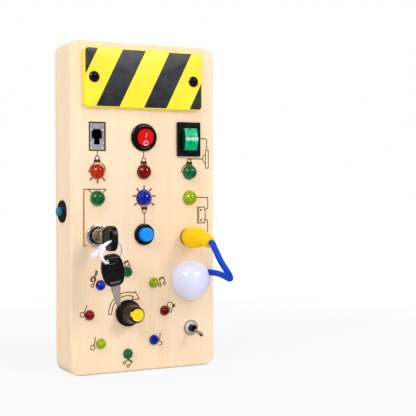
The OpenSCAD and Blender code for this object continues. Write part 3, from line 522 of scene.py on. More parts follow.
def open_effect(name: str, **numbers: float) -> tuple[Tree, Mapping[str, Socket], bpy.types.Node]:
    """Makes an empty group that takes a place, two colours and numbers, and gives a skin.

    Args:
        name: The group's name.
        **numbers: Its further inputs and their defaults.

    Returns:
        Its tree, its inputs by name and its output node.
    """
    group = bpy.data.node_groups.new(name, "ShaderNodeTree")
    kinds = {"Vector": "Vector", "Base": "Color", "Worn": "Color", **dict.fromkeys(numbers, "Float")}
    for socket, kind in kinds.items():
        group.interface.new_socket(socket, in_out="INPUT", socket_type="NodeSocket" + kind)
    for socket, value in numbers.items():
        group.interface.items_tree[socket].default_value = value
    for socket, kind in (("Color", "Color"), ("Roughness", "Float"), ("Height", "Float")):
        group.interface.new_socket(socket, in_out="OUTPUT", socket_type="NodeSocket" + kind)
    return Tree(group), group.nodes.new("NodeGroupInput").outputs, group.nodes.new("NodeGroupOutput")


@cache
def wood_grain() -> bpy.types.NodeTree:
    """Builds the grain of a sawn board: slow bands and fibres stretched along Z, with short pores.

    Returns:
        The group.
    """
    tree, given, out = open_effect("wood_grain", Figure=1.0)
    wave = tree.node("TexNoise", {"Vector": given["Vector"], "Scale": 9.0}).outputs[1]
    wave = tree.node("VectorMath", {0: wave, "Scale": 0.012}, operation="SCALE").outputs[0]
    moved = tree.vector("ADD", given["Vector"], wave)
    bands = tree.spread(tree.noise(tree.scaled(moved, (1, 1, 0.05)), 55, 3.0), 0.35, 0.68)
    fibres = tree.spread(tree.noise(tree.scaled(moved, (1, 1, 0.03)), 420, 3.0, 0.6), 0.35, 0.7)
    pores = tree.spread(tree.noise(tree.scaled(given["Vector"], (1, 1, 0.05)), 1500, 1.0), 0.66, 0.78)
    share = tree.math("MULTIPLY", bands * 0.5 + fibres * 0.3 + pores * 0.35, given["Figure"], clamp=True)
    tree.fill(out, {
        "Color": tree.mix(share, given["Base"], given["Worn"]),
        "Roughness": tree.spread(fibres, 0.0, 1.0, 0.46, 0.6), "Height": fibres * 0.5 - pores,
    })
    return out.id_data


@cache
def moulded_skin() -> bpy.types.NodeTree:
    """Builds the skin of a moulded part: a fine pebble, slow mottling, and smudges from handling.

    Returns:
        The group.
    """
    tree, given, out = open_effect("moulded_skin", Roughness=0.4, Pebble=2200.0)
    slow = tree.spread(tree.noise(given["Vector"], 90, 3.0), 0.35, 0.7)
    smudge = tree.spread(tree.noise(given["Vector"], 260, 4.0, 0.65), 0.5, 0.72)
    tree.fill(out, {
        "Color": tree.mix(slow * 0.6 + smudge * 0.4, given["Base"], given["Worn"]),
        "Roughness": smudge * 0.12 + given["Roughness"],
        "Height": tree.noise(given["Vector"], given["Pebble"], 1.0),
    })
    return out.id_data


@cache
def turned_metal() -> bpy.types.NodeTree:
    """Builds the lathe marks of plated metal: noise of the distance from the turning axis, and stains.

    Returns:
        The group.
    """
    tree, given, out = open_effect("turned_metal", Roughness=0.15)
    radius = tree.reach(tree.scaled(given["Vector"], (1, 0, 1)))
    marks = tree.node("TexNoise", {"W": radius, "Scale": 5200, "Detail": 2.0}, noise_dimensions="1D")
    stains = tree.spread(tree.noise(given["Vector"], 320, 4.0, 0.6), 0.52, 0.75)
    tree.fill(out, {
        "Color": tree.mix(stains, given["Base"], given["Worn"]),
        "Roughness": stains * 0.16 + given["Roughness"], "Height": marks.outputs[0],
    })
    return out.id_data


class Paint(Tree):
    """One material with a Principled shader, and the place on it measured from a centre."""

    def __init__(self, name: str, centre: Sequence[float] = (0, 0, 0)) -> None:
        """Makes the material with that name.

        Args:
            name: Its name.
            centre: Where its pattern is measured from, in metres.
        """
        self.material = bpy.data.materials.new(name)
        self.material.use_nodes = True
        super().__init__(self.material.node_tree)
        self.shader = self.tree.nodes["Principled BSDF"]
        self.colour: Any = None
        self.place = self.node("TexCoord").outputs["Object"]
        if any(centre):
            self.place = self.scaled(self.place, (1, 1, 1), tuple(-c for c in centre))

    def set(self, colour: Any, roughness: Any, **more: Any) -> None:
        """Feeds the shader's colour, roughness and further sockets, whose names are written with _."""
        more = {name.replace("_", " "): value for name, value in more.items()}
        self.fill(self.shader, {"Base Color": colour, "Roughness": roughness, **more})

    def tint(self, colour: Any) -> None:
        """Sets the surface's colour."""
        self.fill(self.shader, {"Base Color": colour})

    def shine(self, level: Any) -> None:
        """Sets how strongly the surface reflects."""
        self.fill(self.shader, {"Specular IOR Level": level})

    def bump(self, height: Any, depth: float) -> None:
        """Raises the surface by height times a depth in millimetres."""
        node = self.node("Bump", {"Height": height, "Distance": depth * MM, "Strength": 1.0})
        self.fill(self.shader, {"Normal": node.outputs[0]})

    def skin(self, group: bpy.types.NodeTree, finish: "Finish", depth: float, **numbers: float) -> None:
        """Lays a shared effect on the surface.

        Args:
            group: The effect.
            finish: The finish whose colours it mixes.
            depth: Depth of its relief in millimetres.
            **numbers: Its further inputs.
        """
        inputs = {"Vector": self.place, "Base": finish.base, "Worn": finish.second_colour, **numbers}
        given = self.node("Group", inputs, node_tree=group).outputs
        self.colour = given["Color"]
        self.set(self.colour, given["Roughness"])
        self.bump(given["Height"], depth)


# ---------- finishes ----------


@dataclass(frozen=True)
class Finish:
    """What every finish has: a name, two screen colours that it mixes, and a centre to measure from."""

    name: str
    base: Rgb
    second_colour: Rgb
    centre: Point = field(default=(0, 0, 0), kw_only=True)

    def material(self) -> bpy.types.Material:
        """Gives the finish's material, which is made at its first use.

        Returns:
            The material that goes by the finish's name.
        """
        if self.name not in bpy.data.materials:
            self.wire(Paint(self.name, self.centre))
        return bpy.data.materials[self.name]

    def wire(self, paint: Paint) -> None:
        """Wires the material.

        Args:
            paint: The material to wire.
        """
        raise NotImplementedError


@dataclass(frozen=True)
class Wood(Finish):
    """Sanded wood with its grain along Z, with painted contact shade along its foot where it stands on the
    floor.
    """

    figure: float = 1.0
    # Colour of the painted contact shade in the lowest millimetre of the wood.
    foot: Rgb = (120, 78, 40)

    def wire(self, paint: Paint) -> None:
        """Wires the material.

        Args:
            paint: The material to wire.
        """
        paint.skin(wood_grain(), self, 0.05, Figure=self.figure)
        # Painted shade: the colour turns to the foot colour within 0.9 mm of the floor, standing in for the
        # contact shadow.
        foot = paint.spread(paint.parts(paint.place)[2], 0.3 * MM, 0.9 * MM, 0.6, 0.0)
        paint.tint(paint.mix(foot, paint.colour, self.foot))
        paint.shine(0.2)


@dataclass(frozen=True)
class Plastic(Finish):
    """Moulded plastic or rubber, which may be given a faint glow of its own colour: painted light, as it is
    no lamp.
    """

    roughness: float = 0.3
    pebble: float = 2200.0
    depth: float = 0.012
    coat: float = 0.0
    clear: float = 0.0
    glow: float = 0.0
    shine: float = 0.3
    painted_glow: float = 0.0

    def wire(self, paint: Paint) -> None:
        """Wires the material.

        Args:
            paint: The material to wire.
        """
        paint.skin(moulded_skin(), self, self.depth, Roughness=self.roughness, Pebble=self.pebble)
        inputs = {"Coat Weight": self.coat, "Coat Roughness": 0.08, "Transmission Weight": self.clear}
        # Painted light: an unlit part glows faintly in its own colour.
        if self.painted_glow:
            inputs |= {"Emission Color": self.base, "Emission Strength": self.painted_glow}
        if self.glow:
            inputs |= {"Subsurface Weight": self.glow, "Subsurface Radius": (0.003, 0.003, 0.003)}
        paint.fill(paint.shader, inputs)
        paint.shine(self.shine)


@dataclass(frozen=True)
class RecessShadedPlastic(Plastic):
    """Moulded plastic with painted shade in its openings: it turns dark within half a millimetre behind a
    depth along Y.
    """

    # Colour of the painted shade deep in the openings.
    inside: Rgb = (8, 8, 9)
    start: float = 0.0

    def wire(self, paint: Paint) -> None:
        """Wires the material.

        Args:
            paint: The material to wire.
        """
        super().wire(paint)
        # Painted shade: colour and reflection fade to the dark inside colour behind the start depth.
        share = paint.spread(paint.parts(paint.place)[1], self.start, self.start + 0.5 * MM)
        paint.tint(paint.mix(share, paint.colour, self.inside))
        paint.shine((1.0 - share) * 0.4)


@dataclass(frozen=True)
class WallShadedPlastic(Plastic):
    """Moulded plastic with painted shade on its round side wall, about an axis along Y, which is darker
    than its face.
    """

    # Colour of the painted shade on the side wall.
    wall: Rgb = (92, 0, 4)
    radius: float = 0.0

    def wire(self, paint: Paint) -> None:
        """Wires the material: the share of the painted wall shade rises with the distance from the axis.

        Args:
            paint: The material to wire.
        """
        super().wire(paint)
        reach = paint.reach(paint.scaled(paint.place, (1, 0, 1)))
        share = paint.spread(reach, self.radius - 0.45 * MM, self.radius - 0.1 * MM)
        paint.tint(paint.mix(share, paint.colour, self.wall))


@dataclass(frozen=True)
class Streaked(Finish):
    """Clear plastic streaked along Z, with a painted highlight at its ridge and painted shade on walls
    square to X.
    """

    # Colour of the painted shade on the walls square to X.
    wall: Rgb
    middle: Pair
    half: float
    # Colour of the painted highlight along the ridge.
    band: Rgb = (200, 255, 236)

    def wire(self, paint: Paint) -> None:
        """Wires the material: wall shade by the distance from the middle along X, highlight band by that
        along Z.

        Args:
            paint: The material to wire.
        """
        streaks = paint.spread(paint.noise(paint.scaled(paint.place, (1, 1, 0.06)), 900, 3.0), 0.35, 0.65)
        x, _, z = paint.parts(paint.place)
        away, height = (paint.math("ABSOLUTE", a - b) for a, b in zip((x, z), self.middle))
        # Painted shade on the walls and a painted highlight band along the ridge.
        wall = paint.spread(away, self.half - 0.35 * MM, self.half - 0.05 * MM)
        band = paint.spread(height, 0.2 * MM, 2.2 * MM, 0.95, 0.0) * paint.spread(streaks, 0, 1, 1, 0.6)
        face = paint.mix(band, paint.mix(streaks, self.base, self.second_colour), self.band)
        paint.set(paint.mix(wall, face, self.wall), paint.spread(streaks, 0, 1, 0.1, 0.16))
        paint.shine(0.15)
        paint.bump(streaks, 0.02)


@dataclass(frozen=True)
class Metal(Finish):
    """Plated or bare metal, turned about an axis along Y through its centre."""

    roughness: float = 0.12
    metallic: float = 1.0

    def wire(self, paint: Paint) -> None:
        """Wires the material.

        Args:
            paint: The material to wire.
        """
        paint.skin(turned_metal(), self, 0.004, Roughness=self.roughness)
        paint.fill(paint.shader, {"Metallic": self.metallic})


@dataclass(frozen=True)
class Lens(Finish):
    """Coloured clear plastic: tinted glass with cloudy streaks and faint moulding marks."""

    clear: float = 0.55

    def wire(self, paint: Paint) -> None:
        """Wires the material.

        Args:
            paint: The material to wire.
        """
        cloud = paint.spread(paint.noise(paint.place, 300, 3.0), 0.3, 0.7)
        rough = paint.spread(paint.noise(paint.place, 700, 2.0), 0.3, 0.8, 0.03, 0.07)
        paint.set(paint.mix(cloud, self.second_colour, self.base), rough, Transmission_Weight=self.clear, IOR=1.49,
                  Coat_Weight=0.3, Coat_Roughness=0.14)
        paint.shine(0.02)
        paint.bump(paint.noise(paint.place, 500, 1.0), 0.005)


@dataclass(frozen=True)
class Stripes(Finish):
    """Yellow plate with slanting black stripes printed on its flat face, short of the round rim."""

    half: Pair
    rim: float
    corner: float
    front: float
    slope: float = 0.509
    period: float = 42.4 * MM
    black_share: float = 0.484
    first: float = -20.2 * MM

    def wire(self, paint: Paint) -> None:
        """Wires the material: (x - slope z) / period numbers the stripes, and its fraction picks the ink.

        Args:
            paint: The material to wire.
        """
        place = paint.place
        x, y, z = paint.parts(place)
        rough_edge = (paint.noise(place, 900, 2.0) - 0.5) * 0.0005
        start = self.first - self.slope * self.half[1] - self.centre[0]
        slant = x - z * self.slope - start + rough_edge
        turn = paint.math("FRACT", paint.math("DIVIDE", slant, self.period) + 2.0)
        inner = [half - self.corner for half in self.half]
        beyond = paint.vector("SUBTRACT", paint.vector("ABSOLUTE", place), (inner[0], 1.0, inner[1]))
        distance = paint.reach(paint.vector("MAXIMUM", beyond))
        ink = paint.math("LESS_THAN", turn, self.black_share)
        ink *= paint.math("LESS_THAN", distance, self.corner - self.rim)
        ink *= paint.math("LESS_THAN", y, self.front - self.centre[1] + 0.05 * MM)
        black = paint.mix(paint.spread(paint.noise(place, 170, 4.0), 0.4, 0.75), self.second_colour, (38, 42, 50))
        yellow = paint.mix(paint.spread(paint.noise(place, 60, 2.0), 0.35, 0.7), self.base, (253, 226, 26))
        rough = paint.spread(paint.noise(place, 240, 3.0), 0.3, 0.7, 0.34, 0.5)
        paint.set(paint.mix(ink, yellow, black), rough)
        paint.shine(0.25)
        paint.bump(paint.noise(place, 1500, 2.0) + ink * 1.5, 0.01)


@dataclass(frozen=True)
class Braid(Finish):
    """Braided cord: brighter strand crowns and painted shade in the gaps between them, read from the cord's
    own weave attribute.
    """

    def wire(self, paint: Paint) -> None:
        """Wires the material.

        Args:
            paint: The material to wire.
        """
        weave = paint.node("Attribute", attribute_name="weave").outputs["Fac"]
        fuzz = paint.noise(paint.place, 2600, 2.0)
        # Painted shade: the colour darkens from the crowns to the gaps between strands.
        share = paint.math("ADD", weave, (fuzz - 0.5) * 0.5, clamp=True)
        paint.set(paint.mix(share, self.second_colour, self.base), paint.spread(fuzz, 0.2, 0.8, 0.5, 0.75))
        paint.shine(0.15)
        paint.bump(fuzz, 0.05)


@dataclass(frozen=True)
class Banded(Finish):
    """A sleeve that changes colour at a place along X, as round a battery cell."""

    edge: float

    def wire(self, paint: Paint) -> None:
        """Wires the material.

        Args:
            paint: The material to wire.
        """
        share = paint.math("GREATER_THAN", paint.parts(paint.place)[0], self.edge)
        scuff = paint.spread(paint.noise(paint.place, 500, 3.0), 0.5, 0.75)
        colour = paint.mix(share, self.base, self.second_colour)
        paint.set(paint.mix(scuff * 0.2, colour, (170, 170, 165)), paint.spread(scuff, 0.0, 1.0, 0.25, 0.5),
                  Metallic=share * 0.8)
        paint.bump(paint.noise(paint.place, 900, 1.0), 0.01)


MAPLE = Wood("pale_wood", (251, 226, 194), (241, 206, 166), 0.75)
PLYWOOD = Wood("panel_wood", (238, 212, 176), (205, 164, 116))
BURNT = Plastic("burnt_line", (86, 48, 16), (120, 72, 32), 0.8, 3000, 0.03, shine=0.05)
SCORCHED = Plastic("scorched_line", (176, 114, 56), (206, 150, 92), 0.8, 3000, 0.03, shine=0.1)
GLOSS_BLACK = Plastic("gloss_black", (8, 9, 12), (20, 22, 27), 0.22, 1800, 0.006, shine=0.2)
SATIN_BLACK = Plastic("satin_black", (16, 17, 19), (28, 28, 30), 0.42, 1800, 0.015)
MATT_BLACK = Plastic("matt_black", (14, 14, 16), (24, 24, 26), 0.6, 1800, 0.015, shine=0.1)
BLACK_OXIDE = Plastic("black_oxide", (6, 6, 8), (20, 20, 22), 0.14, 3000, 0.008, shine=0.35)
KEY_BLACK = Plastic("key_black", (8, 8, 8), (22, 20, 18), 0.3, 1500, 0.01, shine=0.16)
# The phone socket's opening is darkened with painted shade.
SOCKET_GREY = RecessShadedPlastic("socket_grey", (140, 142, 146), (182, 184, 188), 0.35, 1600, 0.02,
                     start=FRONT_Y + 1.2 * MM)
DARK_RIM = Plastic("socket_rim", (74, 48, 34), (110, 80, 58), 0.6, 2000, 0.02, shine=0.1)
STUD_WHITE = Plastic("stud_white", (222, 224, 228), (236, 238, 240), 0.2, 1500, 0.005, coat=0.5)
# The opal dome glows faintly though its lamp is off: painted light.
DOME_WHITE = Plastic("opal_white", (220, 223, 246), (228, 231, 253), 0.16, 1200, 0.004, coat=0.08, glow=0.4,
                     shine=0.16, painted_glow=0.05)
CAP_BLUE = Plastic("cap_blue", (0, 142, 250), (16, 154, 254), 0.42, 2400, 0.02, shine=0.15)
CAP_TEAL = Plastic("cap_teal", (12, 112, 152), (46, 144, 180), 0.35, 2400, 0.02)
KNOB_YELLOW = Plastic("pointer_yellow", (254, 216, 6), (255, 226, 30), 0.38, 2000, 0.02, shine=0.2)
KNOB_BLACK = Plastic("turned_black", (10, 8, 6), (24, 19, 12), 0.18, 1500, 0.008, shine=0.25)
GRIP_YELLOW = Plastic("grip_yellow", (255, 206, 0), (255, 216, 0), 0.5, 1500, 0.03, shine=0.12)
SOCKET_BROWN = Plastic("socket_brown", (118, 74, 20), (150, 98, 30), 0.5, 1500, 0.03, shine=0.1)
# Dark brown for the rings of painted shade round the toggle's nut and washer.
GROOVE_SHADE = Plastic("painted_groove_shade", (92, 80, 70), (120, 104, 90), 0.4, 1500, 0.01, shine=0.2)
MARK_WHITE = Plastic("mark_white", (235, 220, 222), (214, 190, 196), 0.5, 2600, 0.01)
# Clear nylon for the strap and the dome's lamp, with a faint painted glow though nothing lights it.
NYLON = Plastic("nylon_clear", (244, 245, 252), (232, 234, 244), 0.3, 1400, 0.01, clear=0.12, painted_glow=0.06)
CIRCUIT = Plastic("circuit_green", (18, 84, 48), (40, 110, 66), 0.4, 900, 0.03)
STEEL = Metal("bright_steel", (212, 212, 210), (150, 148, 144), 0.2)
KEY_STEEL = Metal("milled_steel", (194, 184, 172), (112, 98, 82), 0.32, 0.6)
ZINC = Metal("zinc_plate", (200, 200, 196), (150, 150, 140), 0.3)
GOLD = Metal("bright_gold", (232, 190, 90), (180, 140, 60), 0.18)
BRASS = Metal("barrel_brass", (190, 160, 104), (96, 72, 40), 0.24)
CUP = Metal("lamp_cup", (196, 196, 192), (150, 150, 146), 0.25)
# Crown colour, and the darker colour of the painted shade in the gaps.
BLUE_BRAID = Braid("blue_braid", (0, 76, 222), (0, 30, 150))


class LampColour(Enum):
    """The clear colours of the lamps."""

    ORANGE = Lens("lens_tint_orange", (255, 68, 0), (196, 28, 0))
    RED = Lens("lens_tint_red", (190, 0, 2), (110, 0, 0))
    GREEN = Lens("lens_tint_green", (0, 158, 78), (0, 94, 42))
    BLUE = Lens("lens_tint_blue", (0, 60, 240), (0, 8, 138))
    LIME = Lens("lens_tint_lime", (222, 246, 0), (176, 210, 0))


# ---------- adding pieces ----------


def linked(name: str, data: Any) -> bpy.types.Object:
    """Makes an object of a mesh, a camera or a lamp and puts it in the scene.

    Args:
        name: Its name.
        data: What it shows.

    Returns:
        The object.
    """
    thing = bpy.data.objects.new(name, data)
    bpy.context.scene.collection.objects.link(thing)
    return thing


def add_piece(
    name: str, surface: Surface, finish: Finish, body: str | None, node: str, sharp: float = 35,
    replaces: bool = False,
) -> bpy.types.Object:
    """Makes an object of a surface, smooth but for edges sharper than an angle, riding on a body.

    Args:
        name: The piece's name.
        surface: Its points and faces, in the board's frame.
        finish: Its finish.
        body: The body it moves with, or None for a piece that is left unattached.
        node: The solid part it goes with, which is hidden when the piece stands for it.
        sharp: Angle of a sharp edge, in degrees.
        replaces: Whether it stands for that solid part.

    Returns:
        The object.
    """
    mesh = bpy.data.meshes.new(name)
    mesh.from_pydata(surface.points.tolist(), [], [f for faces in surface.faces for f in faces.tolist()])
    mesh.polygons.foreach_set("use_smooth", np.ones(len(mesh.polygons), bool))
    mesh.set_sharp_from_angle(angle=math.radians(sharp))
    if surface.weave is not None:
        weave = mesh.attributes.new("weave", "FLOAT", "POINT")
        weave.data.foreach_set("value", surface.weave.astype(np.float32))
    mesh.materials.append(finish.material())
    mesh.update()
    piece = linked(name, mesh)
    if body is not None:
        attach(piece, body)
    if replaces:
        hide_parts(node)
    LOG.info("%s: %d faces on %s", name, len(mesh.polygons), body or "two bodies")
    return piece


def dress(finish: Finish, nodes: str) -> None:
    """Gives a finish to the solid parts with those names, which are shown as they are.

    Args:
        finish: The finish.
        nodes: The names, with spaces between them.
    """
    for node in nodes.split():
        frame["nodes"][node].material_slots[0].material = finish.material()
        LOG.info("%s: %s", node, finish.name)


# ---------- camera, light and floor ----------


def hang(name: str, data: Any, axes: Sequence[Array]) -> bpy.types.Object:
    """Puts a camera or a lamp in the scene.

    Args:
        name: Its name.
        data: Its settings.
        axes: Its directions of right, up and back, and its place.

    Returns:
        The object.
    """
    matrix = np.eye(4)
    matrix[:3] = np.column_stack(axes)
    thing = linked(name, data)
    thing.matrix_world = Matrix(matrix.tolist())
    return thing


@dataclass
class Stage:
    """The camera, two soft lamps with a glint each, the even light of the room, and a pale floor."""

    eye: Point = (-0.3649, -0.8018, 0.1486)
    angles: Point = (28.44, -0.9, -0.17)
    lens: float = 89.97
    sensor: float = 36
    middle: Point = (0, 0, 0.14)
    lamp_distance: float = 5
    lamps: tuple[tuple[str, Point, float], ...] = (
        ("key", (0.387, -0.778, 0.5), 60), ("fill", (-0.69, -0.394, 0.6), 54))
    lamp_radius: float = 0.6
    glint_radius: float = 0.8
    glint_share: float = 5.5
    room_light: float = 0.8
    front_glow: float = 0.07
    ceiling_glow: float = 0.3
    floor_reach: float = 6.0
    floor_fade: Pair = (0.35, 1.3)
    floor_glow: Pair = (0.81, 0.3)

    def build(self) -> None:
        """Puts the camera, the lamps, the room and the floor in place."""
        self.camera()
        for name, towards, power in self.lamps:
            self.lamp(name + "_light", towards, power, self.lamp_radius).visible_glossy = False
            glint = self.lamp(name + "_glint", towards, self.glint_share * power, self.glint_radius)
            glint.visible_diffuse = glint.visible_transmission = False
        self.room()
        self.floor()

    def camera(self) -> None:
        """Sets up the camera from its place and its angles of yaw, pitch and roll."""
        yaw, pitch, roll = (math.radians(a) for a in self.angles)
        flat = math.cos(pitch)
        ahead = np.array([math.sin(yaw) * flat, math.cos(yaw) * flat, math.sin(pitch)])
        level = np.array([math.cos(yaw), -math.sin(yaw), 0])
        top = np.cross(level, ahead)
        right = level * math.cos(roll) + top * math.sin(roll)
        up = top * math.cos(roll) - level * math.sin(roll)
        data = bpy.data.cameras.new("camera")
        data.lens, data.sensor_width = self.lens, self.sensor
        bpy.context.scene.camera = hang("camera", data, [right, up, -ahead, np.array(self.eye)])

    def lamp(self, name: str, towards: Point, power: float, radius: float) -> bpy.types.Object:
        """Hangs a round soft lamp, of a power in watts and a radius, in a direction from the board.

        Args:
            name: Its name.
            towards: Its direction from the board.
            power: Its power in watts.
            radius: Its radius in metres.

        Returns:
            The lamp.
        """
        data = bpy.data.lights.new(name, "AREA")
        data.shape, data.size, data.energy = "DISK", 2 * radius, power
        back = unit(np.array(towards))
        side = unit(np.cross([0, 0, 1], back))
        place = np.array(self.middle) + back * self.lamp_distance
        return hang(name, data, [side, np.cross(back, side), back, place])

    def room(self) -> None:
        """Lights the room evenly; reflections see its white back and ceiling and a dim front."""
        world = bpy.data.worlds.new("room")
        bpy.context.scene.world = world
        world.use_nodes = True
        tree = Tree(world.node_tree)
        _, y, z = tree.parts(tree.node("TexCoord").outputs["Generated"])
        back, ceiling = tree.spread(y, -0.25, 0.45), tree.spread(z, 0.3, 0.8, 0.0, self.ceiling_glow)
        shown = tree.spread(tree.math("MAXIMUM", back, ceiling), 0.0, 1.0, self.front_glow, 1.0)
        rays = tree.node("LightPath").outputs
        mirrored = tree.math("MAXIMUM", rays["Is Glossy Ray"], rays["Is Transmission Ray"])
        strength = mirrored * (shown - self.room_light) + self.room_light
        strength += (1.0 - strength) * rays["Is Camera Ray"]
        tree.fill(world.node_tree.nodes["Background"], {"Color": (255, 255, 255), "Strength": strength})

    def floor(self) -> None:
        """Lays a large pale floor, which keeps the board's shadow and fades to white further out."""
        reach = self.floor_reach
        mesh = bpy.data.meshes.new("floor")
        corners = [(-reach, -reach, 0), (reach, -reach, 0), (reach, reach, 0), (-reach, reach, 0)]
        mesh.from_pydata(corners, [], [(0, 1, 2, 3)])
        paint = Paint("floor_white")
        away = paint.spread(paint.reach(paint.place), *self.floor_fade)
        near, more = self.floor_glow
        rays = paint.node("LightPath").outputs
        seen = paint.math("MAXIMUM", rays["Is Camera Ray"], rays["Is Transmission Ray"])
        glow = seen * (away * more + near) + paint.math("MULTIPLY", rays["Is Glossy Ray"], 0.04)
        shade = paint.mix(rays["Is Camera Ray"], (236, 236, 238), (108, 108, 110))
        shade = paint.mix(rays["Is Glossy Ray"], shade, (120, 120, 122))
        paint.set(shade, 0.9, Emission_Color=(255, 255, 255), Emission_Strength=glow)
        paint.shine(0.0)
        mesh.materials.append(paint.material)
        linked("floor", mesh)


# ---------- plug and rope ----------


@dataclass
class PlugAndRope:
    """The yellow plug in its socket and the blue rope from the wood to it, sizes in millimetres."""

    grip_length: float = 24
    nose_radius: float = 7.6
    grip_radius: float = 8.8
    neck_radius: float = 7
    flange: float = 1.5
    gap: float = 0.3
    ridge_start: float = 11
    ridge_pitch: float = 2.6
    ridge_depth: float = 0.6
    boot_length: float = 14
    boot_end_radius: float = 4.8
    boot_droop: float = 12
    ring_start: float = 2
    ring_pitch: float = 2.5
    ring_depth: float = 0.5
    rope_diameter: float = 5.2
    rope_gap: float = 0.4
    rope_overlap: float = 3.5
    rope_end_round: float = 1.2
    rope_seat: Point = (60.8, -7.8, 79.4)
    strands: int = 8
    strand_height: float = 0.16
    strand_lay: float = 13

    def build(self) -> None:
        """Makes the rope, the grip and the boot, and dresses the socket and the pin."""
        dress(SOCKET_BROWN, "plug_socket")
        dress(STEEL, "plug_pin")
        grip = add_piece("plug_grip_ribbed", self.grip(), GRIP_YELLOW, "plug", "plug_grip", replaces=True)
        boot = add_piece("plug_boot_ribbed", self.boot(), GRIP_YELLOW, "plug", "plug_boot", replaces=True)
        path = self.rope_path()
        rope = add_piece("rope_braided", self.rope(path), BLUE_BRAID, None, "rope", 80, True)
        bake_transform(rope)

    def boot_frame(self) -> Placement:
        """Gives the frame at the boot's root, with out along the boot.

        Returns:
            The frame.
        """
        socket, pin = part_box("plug_socket"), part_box("plug_pin")
        start = FRONT_Y - (self.flange + self.grip_length) * MM
        droop = math.radians(self.boot_droop)
        down, level = math.sin(droop), math.cos(droop)
        origin = ((pin[0].x + pin[1].x) / 2, start, ((socket[0] + socket[1]) / 2).z)
        return Placement(origin, (1, 0, 0), (0, -down, level), (0, -level, -down))

    def rope_path(self) -> Array:
        """Draws the rope's middle line, in metres, from inside the wood round to the boot.

        Returns:
            Its points.
        """
        near, far = self.boot_length + self.rope_gap, self.rope_overlap
        end = self.boot_frame().world(np.array([[0, 0, near + far], [0, 0, near]])) / MM
        x, _, z = self.rope_seat
        route = [
            self.rope_seat, (x, FRONT_Y / MM, z), (61, -27.5, 79.5), (60.5, -37.5, 79), (59.5, -47.5, 78),
            (58.5, -55.5, 77), (56.5, -61.5, 77.5), (53.5, -66, 80), (50, -68.5, 83.5), (46, -70, 88),
            (43, -70, 92.5), (41, -69, 97.2), (40.2, -66.8, 101), (40.3, -63.7, 104), *end,
        ]
        return even(curve_through(route, 16), 260) * MM

    def rope(self, path: Array) -> Surface:
        """Sweeps a braided tube: its radius rises and falls with two crossing sets of slanted strands.

        Args:
            path: Its middle line.

        Returns:
            The tube, with the height of its strands in weave.
        """
        fine = even(path, 4 * len(path))
        walked = lengths_along(fine)[:, None] / MM
        angle = round_angles(48)[None, :]
        around = self.strands * angle / 2
        along = walked * (2 * np.pi / self.strand_lay) * self.strands / 2
        left, right = around + along, around - along
        over = np.cos(left) * np.cos(right) > 0
        rise = np.where(over, np.abs(np.sin(left)), np.abs(np.sin(right))) ** 0.7
        radius = self.rope_diameter / 2 - self.strand_height * (1 - rise)
        ends = np.minimum(walked, walked[-1] - walked)
        rounding = (1 - ends / self.rope_end_round).clip(0, 1) ** 2
        radius = (radius * np.sqrt(np.clip(1 - rounding, 0.04, 1))) * MM
        tube = sweep(fine, polar(radius, angle), (1, 0, 0))
        tube.weave = np.concatenate([rise.ravel(), [1.0, 1.0]])
        return tube

    def grip(self) -> Surface:
        """Turns the grip: a bulb that narrows in five ridges towards the boot.

        Returns:
            The grip in the board's frame.
        """
        length, wide = self.grip_length, self.grip_radius
        shape = curve_through([
            (self.nose_radius, 0.8), (wide - 0.3, 3.2), (wide, 6), (wide, 9), (wide - 0.3, 13),
            (wide - 0.8, 17.5), (self.neck_radius, length),
        ], 24)
        past = shape[:, 1] - self.ridge_start
        wave = ripple(2 * np.pi * past / self.ridge_pitch)
        shape[:, 0] -= self.ridge_depth * (np.clip(past / 2, 0, 1) * wave)
        nose = arc((self.nose_radius - 0.6, self.gap + 0.6), 0.6, 270, 350, 6)
        profile = np.concatenate([[(0, self.gap)], nose, shape, [(0, length)]])
        return lathe(profile, 72).at(on_front("plug_pin").shifted(0, 0, self.flange))

    def boot(self) -> Surface:
        """Turns the boot about its drooping axis, with rings cut round it.

        Returns:
            The boot in the board's frame.
        """
        length, end = self.boot_length, self.boot_end_radius
        along = np.linspace(0, length, 90)
        root = self.neck_radius - 0.8
        radius = np.interp(along, [0, 7, length], [root, end + 0.6, end])
        past = along - self.ring_start
        cut = np.clip(np.minimum(past, length - 1.6 - along), 0, 0.5) * 2
        radius -= self.ring_depth * cut * ripple(2 * np.pi * past / self.ring_pitch) ** 2
        ball = arc((0, 0), root, -90, -4, 12)
        lip = arc((end - 0.8, length - 0.8), 0.8, 0, 90, 6)
        body = np.column_stack([radius, along])[:-6]
        profile = np.concatenate([[(0, -root)], ball[1:], body, lip, [(0, length)]])
        return lathe(profile).at(self.boot_frame())


# ---------- wooden case ----------


def opened(*lines: Any) -> list[Line]:
    """Lists lines whose ends stay apart."""
    return [(np.array(line, float), False) for line in lines]


def looped(*lines: Any) -> list[Line]:
    """Lists lines that close on themselves."""
    return [(np.array(line, float), True) for line in lines]


